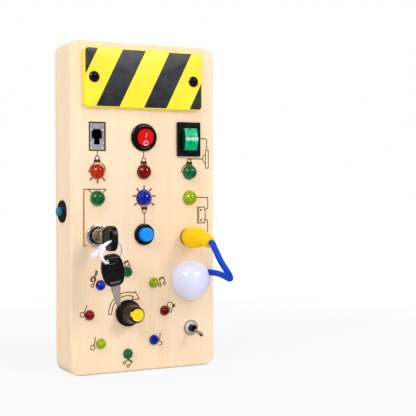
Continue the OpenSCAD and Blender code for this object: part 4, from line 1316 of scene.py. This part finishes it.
@dataclass
class WoodenCase:
    """The case and its back, and the wires, bulbs, signs and notes burnt into its face."""

    line_width: float = 0.8
    ray_width: float = 1.25
    bold_width: float = 1.3
    proud: float = 0.04
    sunk: float = 0.3
    contact_radius: float = 1.7
    cap_half: float = 2.4
    cap_length: float = 4.2
    band_half: float = 2.6
    band_places: Pair = (1.5, 2.75)
    note_radius: float = 1.15
    beam_gap: float = 0.9
    arrow_middle: Pair = (-15.8, 48.9)
    arrow_radii: Pair = (17.0, 14.2)

    def build(self) -> None:
        """Dresses the wood and burns the dark lines and the lighter line down to the lock."""
        dress(MAPLE, "wooden_case")
        dress(PLYWOOD, "back_panel")
        dress(ZINC, "back_panel_screws")
        columns = self.left_column() + self.middle_column() + self.right_column()
        dark = self.bars(columns + self.notes() + self.arrow(), self.line_width)
        dark += self.bars(self.thick_lines(), self.ray_width)
        pale = self.bars(opened([(-53.9, 150.8), (-54.1, 105.4), (-51.6, 105.3)]), self.bold_width)
        face = Placement((0, FRONT_Y, 0))
        add_piece("burnt_lines", joined(dark).at(face), BURNT, "root", "wooden_case")
        add_piece("scorched_lines", joined(pale).at(face), SCORCHED, "root", "wooden_case")

    def bars(self, lines: Sequence[Line], width: float) -> list[Surface]:
        """Makes burnt bars of one width along lines."""
        return [ribbon(points, width, -self.sunk, self.proud, closed) for points, closed in lines]

    def ring(self, x: float, z: float, radius: float) -> list[Line]:
        """Draws a circle."""
        return looped(arc((x, z), radius, 0, 348.75, 32))

    def bulb_cap(self, x: float, z: float, down: float = 1) -> list[Line]:
        """Draws the round contact of a bulb and the two sides of its screw cap.

        Args:
            x: Middle of the contact, to the right.
            z: Middle of the contact, upwards.
            down: 1 for a bulb that hangs, -1 for one that stands.

        Returns:
            Their lines.
        """
        wide, long = self.cap_half, self.cap_length
        sides = [[(x + s * 1.5, z - down), (x + s * wide, z - down * 1.6), (x + s * wide, z - down * long)]
                 for s in (-1, 1)]
        return opened(arc((0, 0), self.contact_radius, -35, 215, 14) * (1, down) + (x, z), *sides)

    def cap_bands(self, x: float, z: float, down: float = 1) -> list[Line]:
        """Draws the two thick bands of a bulb's screw cap, below its contact."""
        wide = self.band_half
        return opened(*([(x - wide, z - down * d), (x + wide, z - down * d)] for d in self.band_places))

    def rays(self, x: float, z: float, near: float, far: float, angles: Sequence[float]) -> list[Line]:
        """Draws short rays round a lamp."""
        middle = np.array([x, z])
        return opened(*([middle + h * near, middle + h * far] for h in polar(1, np.radians(angles))))

    def thick_lines(self) -> list[Line]:
        """Draws the thicker dark lines: the bands of the bulbs' caps and the rays of two lamps.

        Returns:
            Those lines.
        """
        return [
            *self.cap_bands(-42.2, 175.9), *self.cap_bands(-0.7, 174.9), *self.cap_bands(41.8, 174.9),
            *self.cap_bands(-0.2, 132.9, -1), *self.rays(-41.9, 165.2, 6.6, 9.7, (226, 270, 311)),
            *self.rays(-0.4, 143.2, 7.6, 10.7, (-32, 12, 51, 90, 129, 167, 212)),
        ]

    def left_column(self) -> list[Line]:
        """Draws the wire and bulb of the orange lamp and the shade of the green one.

        Returns:
            Its lines.
        """
        left = curve_through([(-44.6, 172.3), (-46.7, 170), (-48.4, 167.6), (-49.3, 165.2)], 6)
        right = curve_through([(-38.9, 172.3), (-36.7, 170.5), (-35.2, 168.1), (-34.6, 166.2)], 6)
        return opened([(-42.1, 182.0), (-42.1, 178.0)]) + self.bulb_cap(-42.2, 176.2) + opened(
            [*left, (-47.6, 165)], right, [(-54.0, 150.8), (-34.4, 150.8)],
            [(-50.0, 150.6), (-46.3, 147.3)], [(-34.7, 150.6), (-37.4, 147.9)])

    def middle_column(self) -> list[Line]:
        """Draws the wires and bulbs of the red and the blue lamp.

        Returns:
            Its lines.
        """
        return [
            *opened([(-0.8, 182.4), (-0.7, 176.8)]), *self.bulb_cap(-0.7, 175.1),
            *opened(arc((-0.5, 143.4), 6.8, -68, 248, 40)), *self.bulb_cap(-0.3, 132.7, -1),
            *opened([(-0.3, 131), (-0.3, 122.2)]),
        ]

    def right_column(self) -> list[Line]:
        """Draws the strip lamp and bulb beside the green lamp and the plug sign of the lime one.

        Returns:
            Its lines.
        """
        shade = curve_through([(57.5, 180.8), (55.5, 179), (54.6, 176.5), (55.5, 174.2), (57.5, 172.4)], 5)
        left = curve_through([(39.2, 172), (36.5, 169.8), (34.9, 167.5), (34.4, 165.3)], 6)
        jag = [(49.6, 135.4), (56.6, 135.4), (56.6, 133), (57.5, 131), (56.8, 129.2), (57.6, 127.4),
               (56.6, 125.6), (56.6, 122), (49.6, 122)]
        wire = curve_through([(54.6, 176.5), (44.4, 176.5), (42.4, 176.2), (41.6, 175.4)], 6)
        return [
            *opened([(52.2, 193.8), *arc((57.3, 192.4), 1.4, 90, 0, 6), (58.7, 184.2)]),
            *looped(rounded_rectangle(2.7, 15.4, 0.3, 3) + (58.9, 176.4)), *opened(shade, wire),
            *self.bulb_cap(41.8, 175),
            *opened([*left, (37, 165)], [(48.4, 143.7), (59.6, 143.7), (59.6, 134.4), (57.2, 133.2)]),
            *looped(jag), *opened([(50.9, 134.6), (50.9, 122.8)]), *self.ring(53, 132.9, 0.5),
            *self.ring(53, 124.5, 0.5), *opened([(56.6, 125.4), (59.4, 123.8), (59.5, 112.8)]),
        ]

    def beamed(self, x: float, z: float, spread: float, stem: float, tilt: float) -> list[Line]:
        """Draws a pair of notes under one beam, turned by tilt about the middle of the beam.

        Args:
            x: Middle of the beam, to the right.
            z: Middle of the beam, upwards.
            spread: Distance between the stems.
            stem: Their length.
            tilt: The turn in degrees.

        Returns:
            Their lines.
        """
        half, gap = spread / 2, self.beam_gap
        lines = [
            [(-half, 0), (half, 0)], [(-half, -gap), (half, -gap)], [(-half, 0.3), (-half, -stem)],
            [(half, 0.3), (half, -stem)],
        ]
        heads = [arc((s * half - 0.9, -stem - 0.6), self.note_radius, 0, 337.5, 16) for s in (-1, 1)]
        return opened(*(turned(np.array(line), tilt) + (x, z) for line in lines)) + looped(
            *(turned(head, tilt) + (x, z) for head in heads))

    def notes(self) -> list[Line]:
        """Draws the note by each small lamp, clockwise from the top.

        Returns:
            Their lines.
        """
        spiral = np.linspace(0, 1, 60)
        clef = polar(1.0 + 1.5 * spiral, np.radians(-40 + 620 * spiral)) * (1, 1.15) + (-45.8, 77.6)
        stem = curve_through([(-44.5, 80.6), (-43, 81.4), (-42.7, 84), (-44, 84.2), (-44.6, 80.4),
                              (-45, 76.4), (-45.6, 73.4)], 6)
        hook = curve_through([(13.5, 25.4), (13.2, 23.6), (14.6, 22.9), (15.6, 21.9), (14.6, 20.4),
                              (12.4, 20.1)], 5)
        arch = curve_through([(20.2, 53), (21.2, 55), (23.2, 55.6), (25.2, 54.7), (26, 52.6), (25.4, 50.4),
                              (23.8, 46.4)], 6)
        dot = turned(arc((0, 0), 1, 0, 345, 24) * (0.7, 1.3), -10) + (-43.7, 82.4)
        return [
            *self.beamed(-17.2, 91.4, 3.6, 4.2, 24), *self.beamed(15.1, 76.6, 4.2, 5, 17), *opened(arch),
            *self.rays(26.6, 52.6, 1.7, -1.7, np.degrees((0.3, 1.35, 2.4))),
            *opened([(20.2, 53), (21.6, 51.6), (23.4, 50.6), (22.6, 46.9)], [(13.9, 30.3), (13.5, 25.4)],
                    hook),
            *self.beamed(-13.6, 9.6, 4.4, 4.2, -38),
            *self.ring(-46.9, 22.4, 1.9), *opened([(-44.5, 30.8), (-45.4, 24)]),
            *self.ring(-55.6, 49.6, 1.9), *opened([(-51.4, 57), (-54.3, 51)], clef, stem),
            *self.ring(-46.8, 72.7, 1.2), *looped(dot),
        ]

    def arrow(self) -> list[Line]:
        """Draws the arrow round the knob: two arcs, a round tail and an open head.

        Returns:
            Its outline.
        """
        wide, near = self.arrow_radii
        head, tail = [(-8.9, 66.2), (-5.3, 59.8), (-12.0, 59.6)], [(-30.4, 48.6), (-32.4, 48.6)]
        outer, inner = arc(self.arrow_middle, wide, 180, 70, 30), arc(self.arrow_middle, near, 68, 180, 30)
        return looped(np.concatenate([outer, head, inner, tail]))


# ---------- striped plate and switches ----------


@dataclass
class WarningPlate:
    """The yellow plate with its slanted stripes."""

    corner: float = 3.6
    rim: float = 0.9

    def build(self) -> None:
        """Makes the plate over its solid and dresses its screws."""
        dress(BLACK_OXIDE, "striped_plate_screws")
        node = "striped_plate"
        low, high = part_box(node)
        wide, tall, thick = ((high - low)[k] / MM for k in (0, 2, 1))
        plate = slab(rounded_rectangle(wide, tall, self.corner), rounded_levels(0.0, thick, self.rim))
        stripes = Stripes(
            "warning_stripes", (254, 232, 36), (22, 25, 31), (wide * MM / 2, tall * MM / 2), self.rim * MM,
            self.corner * MM, low.y, centre=tuple((low + high) / 2),
        )
        add_piece(node + "_face", plate.at(on_front(node)), stripes, "root", node, replaces=True)


@dataclass
class PhoneSocket:
    """The grey phone socket with a raised frame and eight small studs."""

    outside: Pair = (14.5, 23.4)
    opening: Pair = (10.4, 15.2)
    opening_drop: float = 0.4
    frame_width: float = 0.7
    bezel_width: float = 0.5
    stud: float = 0.8
    stud_places: tuple[Pair, ...] = ((5.0, 9.8), (5.4, 5.4), (5.4, -5.2), (5.0, -9.4))

    def build(self) -> None:
        """Adds the frame, the bezel round the opening and the studs."""
        dress(SOCKET_GREY, "phone_socket")
        dress(GOLD, "phone_contacts")
        depth = (FRONT_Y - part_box("phone_socket")[0].y) / MM
        place = on_front("phone_socket")
        wide, tall = (size - self.frame_width for size in self.outside)
        rim = ribbon(rounded_rectangle(wide, tall, 0.4, 3), self.frame_width, depth - 0.1, 0.25, True)
        opening = rounded_rectangle(*self.opening, 0.5, 3) + (0, -self.opening_drop)
        ring = ribbon(opening, self.bezel_width, depth - 0.1, depth + 0.25, True)
        dome = np.array([(0, -0.2), (1, -0.2), (1, 0.1), (0.8, 0.4), (0.4, 0.58), (0, 0.62)])
        dome = dome * (self.stud, 1) + (0, depth)
        places = [(s * x, y) for s in (-1, 1) for x, y in self.stud_places]
        studs = [lathe(dome, 20).at(place.shifted(x, y, 0)) for x, y in places]
        add_piece("phone_socket_rim", rim.at(place), DARK_RIM, "root", "phone_socket")
        add_piece("phone_socket_bezel", ring.at(place), SOCKET_GREY, "root", "phone_socket")
        add_piece("phone_socket_studs", joined(studs), STUD_WHITE, "root", "phone_socket")


@dataclass
class RoundSwitch:
    """The round rocker switch with its off and on marks and its bezel."""

    pivot: float = 0.4
    lip: float = 4.2
    dip: float = 3.5
    radius: float = 7.5
    tilt: float = 8
    bar: Pair = (0.6, 3.2)
    bar_foot: Pair = (0.5, 0.6)
    ring_middle: Pair = (0.3, -4.4)
    ring_radius: float = 1.75
    bezel: float = 11.5
    bezel_height: float = 2.7

    def build(self) -> None:
        """Prints the marks on the two halves of the rocker and turns the bezel."""
        face = on_front("round_switch_housing")
        dress(GLOSS_BLACK, "round_switch_housing")
        dress(STEEL, "round_switch_terminals")
        # The red rocker's side wall gets painted shade.
        dress(WallShadedPlastic("rocker_red", (212, 0, 6), (226, 10, 14), 0.2, 1600, 0.006, shine=0.25,
                     radius=self.radius * MM, centre=face.origin), "round_rocker")
        slope = math.degrees(math.atan2(self.lip - self.dip, self.radius))
        rocker = face.shifted(0, 0, self.pivot).tipped(self.tilt).shifted(0, 0, self.dip)
        wide, tall = self.bar
        x, foot = self.bar_foot
        bar = ribbon(np.array([(x, foot), (x, foot + tall)]), wide, -MARK_SUNK, MARK_PROUD)
        circle = arc(self.ring_middle, self.ring_radius, 0, 350, 36)
        ring = ribbon(circle, wide, -MARK_SUNK, MARK_PROUD, True)
        marks = [bar.at(rocker.tipped(slope)), ring.at(rocker.tipped(-slope))]
        add_piece("rocker_marks", joined(marks), MARK_WHITE, "round_rocker", "round_rocker")
        edge = self.bezel + 0.05
        rim = curve_through([
            (edge, -0.2), (edge, 0.5), (self.bezel - 0.5, 1.9), (self.bezel - 1.7, 2.6),
            (9.0, self.bezel_height), (8.4, 2.2), (8.3, 1.2), (8.3, 0.2),
        ], 6)
        bezel = loft(raised(polar(rim[:, 0], round_angles(96)[:, None]), rim[:, 1]))
        add_piece("round_switch_bezel", bezel.at(face), GLOSS_BLACK, "root", "round_switch_housing")


@dataclass
class SquareSwitch:
    """The rectangular switch's clear green rocker, ribbed from top to bottom."""

    width: float = 12.4
    ridge: float = 8.1
    end: float = 5.9
    end_half: float = 9.3
    waist: float = 2.4
    waist_half: float = 9.6
    skirt: float = 3.5
    skirt_half: float = 9.35
    pivot: float = -0.6
    rim: float = 0.7
    ribs: int = 8
    rib_depth: float = 0.14

    def build(self) -> None:
        """Makes the rocker over its solid and dresses the rest."""
        dress(GLOSS_BLACK, "square_switch_housing")
        dress(STEEL, "square_switch_terminals")
        place = on_front("square_rocker").origin
        # Face, streak and painted wall-shade colours of the green rocker.
        colours = (0, 198, 134), (0, 136, 88), (0, 66, 38)
        green = Streaked("rocker_green", *colours, place[::2], self.width / 2 * MM)
        add_piece("square_rocker_ribbed", self.rocker(), green, "square_rocker", "square_rocker", 25, True)

    def rocker(self) -> Surface:
        """Stacks the rocker's side outline across its width; the ribs draw the outline in and out.

        Returns:
            The rocker in the board's frame.
        """
        end, half, ridge = self.end, self.end_half, self.ridge
        side = [
            (self.skirt_half, -self.skirt), (self.waist_half, -2.6), (self.waist_half, self.waist),
            (half, end - 0.5), (half - 0.15, end - 0.1), (half - 0.6, end + 0.1),
            (0.75, ridge - 0.15), (0.6, ridge + 0.05), (0.3, ridge + 0.17),
        ]
        outline = np.array(side + [(0.0, ridge + 0.2)] + [(-y, z) for y, z in side[::-1]] + side[:1])
        reach, rim = self.width / 2 - self.rim, self.rim
        across = np.linspace(-reach, reach, 12 * self.ribs + 1)
        wave = ripple(2 * np.pi * self.ribs * (across - across[0]) / np.ptp(across))
        levels = np.concatenate([
            arc((rim, -reach), rim, 270, 180, RIM_STEPS)[:-1],
            np.column_stack([self.rib_depth * wave, across]),
            arc((rim, reach), rim, 180, 90, RIM_STEPS)[1:],
        ])
        place = on_front("square_switch_housing").shifted(0, 0, self.pivot)
        return slab(even(outline, 261)[:-1], levels).at(
            Placement(place.origin, place.up, place.out, place.right))


@dataclass
class Toggle:
    """Painted shade: the dark rings between the washer, the nut and the bush of the toggle switch."""

    washer_radius: float = 6.6
    washer_top: float = 0.8
    groove_radius: float = 5.35
    nut_top: float = 2.6
    bush_radius: float = 3

    def build(self) -> None:
        """Dresses the switch and adds the rings of painted shade about its own axis."""
        place = tuple(joint_place("toggle_flip"))
        chrome = Metal("toggle_chrome_turned", (246, 244, 242), (170, 160, 150), 0.14, 0.3, centre=place)
        dress(chrome, "toggle_nuts")
        dress(Metal("lever_chrome", (176, 158, 136), (112, 92, 72), 0.1, centre=place), "toggle_lever")
        dress(SATIN_BLACK, "toggle_switch_body")
        circle = arc((0, 0), 1, 0, 360, 49)[:-1]
        # Painted shade: thin dark rings where the washer, nut and bush meet.
        rings = [
            (self.washer_radius - 0.3, self.washer_top, 0.55), (self.groove_radius, self.washer_top, 0.5),
            (self.bush_radius + 0.5, self.nut_top, 0.3),
        ]
        lines = [ribbon(circle * radius, width, top - MARK_SUNK, top + MARK_PROUD, True)
                 for radius, top, width in rings]
        face = Placement((place[0], FRONT_Y, place[2]))
        add_piece("toggle_washer_shade_lines", joined(lines).at(face), GROOVE_SHADE, "root", "toggle_nuts", 30)


# ---------- lamps ----------


@dataclass
class Lamps:
    """The six large and eight small lamps: clear coloured domes over a bright cup, sizes in millimetres."""

    big: float = 6
    small: float = 4
    flange: float = 1.2
    stem: float = 0.6
    bead: float = 0.25
    wall: float = 8
    cup_share: float = 0.42

    def build(self) -> None:
        """Makes the lenses and their cups, and dresses their leads and board."""
        dress(ZINC, "big_lamp_leads ring_lamp_leads")
        dress(CIRCUIT, "ring_board")
        cups = []
        for name in ("orange", "red", "green_upper", "green_lower", "blue", "lime"):
            cups += self.lamps("lamp_" + name, [on_front("lamp_" + name)], self.big, name)
        for name in ("green", "blue", "red", "lime"):
            node = "ring_lamps_" + name
            cups += self.lamps(node, self.ring_places(node), self.small, name)
        add_piece("lamp_cups", joined(cups), CUP, "root", "big_lamp_leads")

    def ring_places(self, node: str) -> list[Placement]:
        """Finds the two lamps of a node, which stand opposite each other about the knob.

        Args:
            node: The solid part.

        Returns:
            Their frames.
        """
        low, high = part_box(node)
        reach = (self.small + self.flange) * MM
        right = np.array([high.x - reach, low.x + reach])
        up = np.array([high.z - reach, low.z + reach])
        if node == "ring_lamps_blue":
            up = up[::-1]
        return [Placement((x, FRONT_Y, z)) for x, z in zip(right, up)]

    def lamps(self, node: str, places: Sequence[Placement], radius: float, name: str) -> list[Surface]:
        """Adds the lenses that stand for one solid part.

        Args:
            node: The solid part.
            places: Frames of its lamps.
            radius: Their radius.
            name: Their name, which starts with their colour.

        Returns:
            The cups in them.
        """
        colour = LampColour[name.split("_")[0].upper()].value
        lenses = [self.lens(radius).at(place) for place in places]
        add_piece(node + "_clear", joined(lenses), colour, "root", node, 50, True)
        return [self.cup(radius * self.cup_share).at(place) for place in places]

    def lens(self, radius: float) -> Surface:
        """Turns a lens: a flange behind the wood, a straight stem, a bead at the face and a round dome.

        Args:
            radius: Radius of its stem and dome.

        Returns:
            The lens.
        """
        edge, back, bead = radius + self.flange, -self.wall, radius + self.bead
        return lathe(np.concatenate([
            [(0, back), (edge - 0.2, back), (edge, back + 0.2), (edge, 0.8 + back), (edge - 0.2, 1 + back),
             (radius, 1 + back), (radius, 0.02), (bead, 0.06), (bead, 0.4), (radius, 0.55)],
            arc((0, self.stem), radius, 0, 90, 24)[1:],
        ]), 56)

    def cup(self, wide: float) -> Surface:
        """Turns the small bright cup that holds the lamp's crystal, deep in the lens.

        Args:
            wide: Radius of the cup's rim.

        Returns:
            The cup's closed surface.
        """
        return lathe(np.array([
            (0, -3.4), (wide * 0.7, -3.4), (wide, -0.6), (wide * 0.86, -0.5), (wide * 0.5, -1.7), (0, -1.8),
        ]), 28)


@dataclass
class Dome:
    """The white push light: an opal dome with a faint painted glow, on a neck through the wood."""

    radius: float = 16.9
    wall: float = 1.6
    rim: float = 1
    neck: float = 11.8
    neck_wall: float = 1.5
    neck_depth: float = 12

    def build(self) -> None:
        """Makes the dome over its solid and dresses what holds and lights it."""
        dress(SATIN_BLACK, "dome_ring_nut")
        dress(CIRCUIT, "dome_board")
        dress(NYLON, "dome_lamp")
        outer = arc((0, self.rim), self.radius, 90, 0, 40)
        inner = arc((0, self.rim), self.radius - self.wall, 0, 90, 30)
        bore = self.neck - self.neck_wall
        bottom = [(self.radius, 0.3), (self.radius - 0.3, 0), (self.neck, 0), (self.neck, -self.neck_depth),
                  (bore, -self.neck_depth), (bore, self.rim)]
        surface = lathe(np.concatenate([outer, bottom, inner]), 96).at(on_front("dome_lens"))
        add_piece("dome_opal", surface, DOME_WHITE, "root", "dome_lens", replaces=True)


class Controls:
    """The two push buttons and the knob, whose solids have their own shapes."""

    def build(self) -> None:
        """Dresses them."""
        dress(GLOSS_BLACK, "front_button_housing")
        dress(MATT_BLACK, "side_button_housing")
        dress(SATIN_BLACK, "front_button_nut side_button_nut rotary_switch")
        dress(STEEL, "front_button_spring side_button_spring")
        dress(CAP_BLUE, "front_button_cap")
        dress(CAP_TEAL, "side_button_cap")
        dress(KNOB_BLACK, "knob")
        dress(KNOB_YELLOW, "knob_cap")


@dataclass
class PowerPack:
    """The battery box in the back panel, its cells and its door."""

    cap_length: float = 9

    def build(self) -> None:
        """Dresses them, with the cells' sleeves in two colours."""
        dress(SATIN_BLACK, "battery_box battery_door")
        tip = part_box("batteries")[1].x - self.cap_length * MM
        dress(Banded("cell_sleeve", (38, 44, 52), (196, 132, 70), tip), "batteries")


# ---------- lock, keys and strap ----------


@dataclass
class LockAndKeys:
    """The cam lock, the key in it, the spare key below, and the nylon strap between them."""

    head_length: float = 22.5
    head_start: float = 17.2
    head_drop: float = 1.3
    head_thickness: float = 5
    head_rim: float = 1.1
    slot_inset: float = 4.6
    slot_half: Pair = (6.25, 1.7)
    spare_length: float = 25
    spare_inset: float = 5.6
    plug_face: float = 7.2
    blade_depth: float = 14
    blade_width: float = 6
    root_width: float = 8.4
    tip_width: float = 3.4
    blade_thickness: float = 1.9
    spare_blade: float = 16
    lean: float = 10
    web_size: Pair = (8.4, 3.6)
    web_place: Pair = (2.2, 0.6)
    tie_head_size: Pair = (4.2, 4.6)
    gap_radius: float = 6.85
    barrel: tuple[Pair, ...] = ((5.6, 2.0), (5.72, 2.1), (5.72, 6.2), (5.55, 6.45))
    barrel_bore: float = 5.3
    rib_count: int = 20
    rib_depth: float = 0.16
    head_half: tuple[Pair, ...] = (
        (4.6, -0.35), (7.9, -2.2), (9.7, -5.4), (10, -9), (9.8, -13), (8.7, -16.9), (7, -20.3), (5, -22.2),
        (3, -22.5))
    spare_half: tuple[Pair, ...] = (
        (3.6, -0.3), (6.4, -2.4), (8.2, -6), (9.1, -10.6), (9.1, -15), (8.4, -19.2), (7, -22.6),
        (5.2, -24.6), (3, -25))
    strap_width: tuple[float, ...] = (3.9, 3.9, 2.8, 2, 2.4, 3.2, 3.2, 2.8, 2.4, 2, 2, 2, 2.5, 2.7, 2.6)
    strap_roll: tuple[float, ...] = (70, 64, 40, 0, 0, 0, 20, 30, 10, 0, 0, 0, 20, 20, 20)
    strap_thickness: tuple[float, ...] = (
        1.1, 1.1, 1.2, 1.4, 1.2, 1.1, 1.1, 1.2, 1.3, 1.4, 1.4, 1.4, 1.2, 1.1, 1.1)

    def build(self) -> None:
        """Dresses the lock and makes its details, the keys and the strap."""
        middle = tuple(joint_place("lock_turn"))
        lock = Placement((middle[0], FRONT_Y, middle[2]))
        chrome = Metal("lock_chrome_turned", (224, 224, 226), (170, 168, 166), 0.08, 0.8, centre=middle)
        dress(chrome, "lock_body")
        dress(Metal("plug_brass_turned", (214, 196, 160), (150, 130, 90), 0.22, centre=middle), "lock_plug")
        dress(STEEL, "lock_nut")
        outer = self.head_start + self.head_length
        head, blade = (
            Placement(lock.shifted(0, -drop, outer).origin, (0, 0, 1), (0, -1, 0), (1, 0, 0))
            for drop in (self.head_drop, 0))
        length = outer - self.plug_face + self.blade_depth - self.head_length
        self.key("key", head, blade, (self.blade_width, self.blade_width, length),
                 self.head(self.head_half, self.slot_inset))
        lean = math.radians(self.lean)
        axes = ((math.cos(lean), 0, math.sin(lean)), (-math.sin(lean), 0, math.cos(lean)), (0, -1, 0))
        spare = Placement(tuple(joint_place("spare_key_swing")), *axes).shifted(0, self.spare_inset, 0)
        self.key("spare_key", spare, spare.shifted(0, self.head_length - self.spare_length, 0),
                 (self.root_width, self.tip_width, self.spare_blade),
                 self.head(self.spare_half, self.spare_inset))
        aside, out = self.web_place
        web = slab(rounded_rectangle(*self.web_size, 0.8, 4), rounded_levels(-0.6, 0.6, 0.2, 0.2))
        web = web.at(spare.shifted(aside, -self.spare_inset, out))
        add_piece("spare_key_web", web, MATT_BLACK, "spare_key", "spare_key_head")
        self.lock_details(lock)
        self.strap()

    def lock_details(self, lock: Placement) -> None:
        """Adds a black ring of painted shade in the gap round the lock's barrel, and the brass ribs on it.

        Args:
            lock: The frame on the face at the middle of the lock.
        """
        wide, low, high = self.gap_radius, self.barrel[0][1], self.barrel[-1][1]
        # Painted shade: a black ring filling the gap between the barrel and the lock's body.
        gap = lathe(np.array([(0, -0.5), (wide, -0.5), (wide, 1.9), (6.6, low), (5.7, low), (0, low)]), 48)
        add_piece("lock_gap_shade", gap.at(lock), MATT_BLACK, "root", "lock_body")
        size, out = np.array(self.barrel).T[:, :, None]
        angle = round_angles(180)[None, :]
        reach = size - self.rib_depth * ripple(self.rib_count * angle) ** 2
        hole = polar(self.barrel_bore, angle[0])
        rims = np.stack([raised(hole, z) for z in (high, low)])
        ribs = loft(np.concatenate([raised(polar(reach, angle), out), rims]))
        add_piece("lock_barrel_ribs", ribs.at(lock), BRASS, "root", "lock_body", 60)

    def key(self, name: str, head: Placement, blade: Placement, size: Point, shape: Surface) -> None:
        """Adds one key.

        Args:
            name: Its body and the start of its pieces' and solids' names.
            head: Frame of its head, whose outer end is at up = 0.
            blade: Frame of its blade.
            size: Width of its blade at the root and at the tip, and how far it reaches beyond the head.
            shape: Its head, lying in the right-up plane.
        """
        add_piece(name + "_head_moulded", shape.at(head), KEY_BLACK, name, name + "_head", 50, True)
        steel = self.blade(*size).at(blade)
        add_piece(name + "_blade_milled", steel, KEY_STEEL, name, name + "_blade", 25, True)

    def head(self, half: Sequence[Pair], inset: float) -> Surface:
        """Makes a key head: rings run from its round outer edge over a shallow dish to the slot and back.

        Args:
            half: Its right edge from the outer end to the blade's side.
            inset: How far the slot's middle lies from the outer end.

        Returns:
            The head, lying in the right-up plane.
        """
        loop = [(0.0, 0.0), *half, (0.0, half[-1][1]), *[(-x, y) for x, y in half][::-1]]
        outline = even(curve_through(loop, 10, closed=True), 97)[:-1][::-1]
        centre = np.array([0.0, -inset])
        away = outline - centre
        angle = np.arctan2(away[:, 1], away[:, 0])
        wide, high = self.slot_half
        reach = ((np.abs(np.cos(angle)) / wide) ** 4 + (np.abs(np.sin(angle)) / high) ** 4) ** -0.25
        heading = polar(1, angle)
        slot = centre + heading * reach[:, None]
        top, rim = self.head_thickness / 2, self.head_rim
        quarter = np.radians(np.linspace(0, 90, 6))
        front = np.array([
            *((0.0, rim * (1 - math.cos(a)), 0.0, top - rim + rim * math.sin(a)) for a in quarter),
            (0.06, rim * 0.9, 0.0, top - 0.02), (0.12, rim * 0.6, 0.0, top - 0.45),
            (0.2, rim * 0.4, 0.0, top - 0.55), (0.75, 0.0, 0.5, top - 0.62), (0.9, 0.0, 0.5, top - 0.35),
            (1.0, 0.0, 0.45, top - 0.3), (1.0, 0.0, 0.1, top - 0.5), (1.0, 0.0, 0.0, top - 0.9),
        ])
        rows = np.concatenate([front, front[::-1] * (1, 1, 1, -1)])
        share, inset, grow, height = (rows[:, k, None, None] for k in range(4))
        ring = (1 - share) * (outline - inset * outline_normals(outline)) + share * (slot + grow * heading)
        return loft(raised(ring, height[..., 0]))

    def blade(self, root: float, tip: float, length: float) -> Surface:
        """Makes a grooved blade: a section with grooves on each side, narrowed towards its cut tip.

        Args:
            root: Its width at the head.
            tip: Its width at the tip.
            length: How far it reaches beyond the head.

        Returns:
            The blade, running down from the head's lower end.
        """
        wide, thick = self.blade_width / 2, self.blade_thickness / 2
        half = np.array([
            (wide, -thick + 0.2), (wide, thick - 0.5), (wide - 0.9, thick), (1.5, thick),
            (1.2, thick - 0.6), (0.7, thick - 0.6), (0.4, thick), (-0.3, thick), (-0.6, thick - 0.5),
            (-1.3, thick - 0.5), (-1.7, thick), (-2.0, thick), (-wide, thick - 0.6),
        ])
        section = np.concatenate([half, -half])
        along = np.linspace(-2.0, length, 60)
        share = np.clip(along / length, 0, 1)
        point = 0.3 * tip / self.blade_width * np.clip((share - 0.86) / 0.14, 0, 1) ** 1.6
        taper = (root + (tip - root) * share) / self.blade_width - point
        cuts = 0.05 * np.sin(along * 2.3) * np.clip(share * 4, 0, 1) * np.clip((0.9 - share) * 6, 0, 1)
        x = section[None, :, 0] * (taper + cuts)[:, None]
        y = np.repeat((-self.head_length - along)[:, None], len(section), axis=1)
        z = section[None, :, 1] * (1 - 0.25 * share[:, None] ** 8)
        return capped(np.stack([x, y, z], axis=2))

    def strap(self) -> None:
        """Adds the strap, a flat band that rolls as it goes, with its ratchet head and free tail."""
        top = joint_place("tie_swing") / MM
        slot = joint_place("spare_key_swing") / MM
        near_top = [(-15.2, 5, -12.6), (-11.2, 3, -8), (-5.4, 0.6, -2.2), (0, 0, 0), (4.6, 0.2, -0.9),
                    (8, 1.6, -6)]
        near_slot = [(10.2, 4.4, 4.6), (7, 5, 0.9), (1, 4.6, -0.2), (-3.4, 3.1, -0.7), (-4.3, 0, -0.8),
                     (-4.9, -2.9, -0.9), (-7.2, -4.4, -0.4), (-9.8, -3, 4.6)]
        curve = curve_through([*(top + near_top), *(slot + near_slot), top + (-9.4, -1, -6.8)], 12)
        walked = lengths_along(curve)
        marks = walked[::12] / walked[-1]
        path = even(curve, 240) * MM
        share = np.linspace(0, 1, len(path))
        roll, width, thick = (
            np.interp(share, marks, row)
            for row in (self.strap_roll, self.strap_width, self.strap_thickness))
        section = rounded_rectangle(1.0, 1.0, 0.3, 4)[None] * np.stack([thick, width], axis=1)[:, None] * MM
        band = sweep(path, section, (0, 1, 0), roll)
        block = slab(rounded_rectangle(*self.tie_head_size, 0.8, 5), rounded_levels(-1.6, 1.6, 0.5, 0.5))
        spot = Placement(tuple((top + (-9.4, 0.6, -5.6)) * MM), (0.75, 0, 0.66), (-0.66, 0, 0.75))
        surface = joined([band, block.at(spot)])
        piece = add_piece("cable_tie_strap", surface, NYLON, None, "cable_tie", replaces=True)
        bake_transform(piece)


def main() -> None:
    """Builds the stage and every sub-assembly in order."""
    logging.basicConfig(level=logging.INFO, format="%(name)s %(message)s")
    assemblies = [
        Stage(), PlugAndRope(), WoodenCase(), WarningPlate(), PhoneSocket(), RoundSwitch(), SquareSwitch(),
        Toggle(), Lamps(), Dome(), Controls(), LockAndKeys(), PowerPack(),
    ]
    for assembly in assemblies:
        assembly.build()
        LOG.info("%s done", type(assembly).__name__)
    bpy.context.scene.view_settings.view_transform = "Standard"


if __name__ == "__main__":
    main()
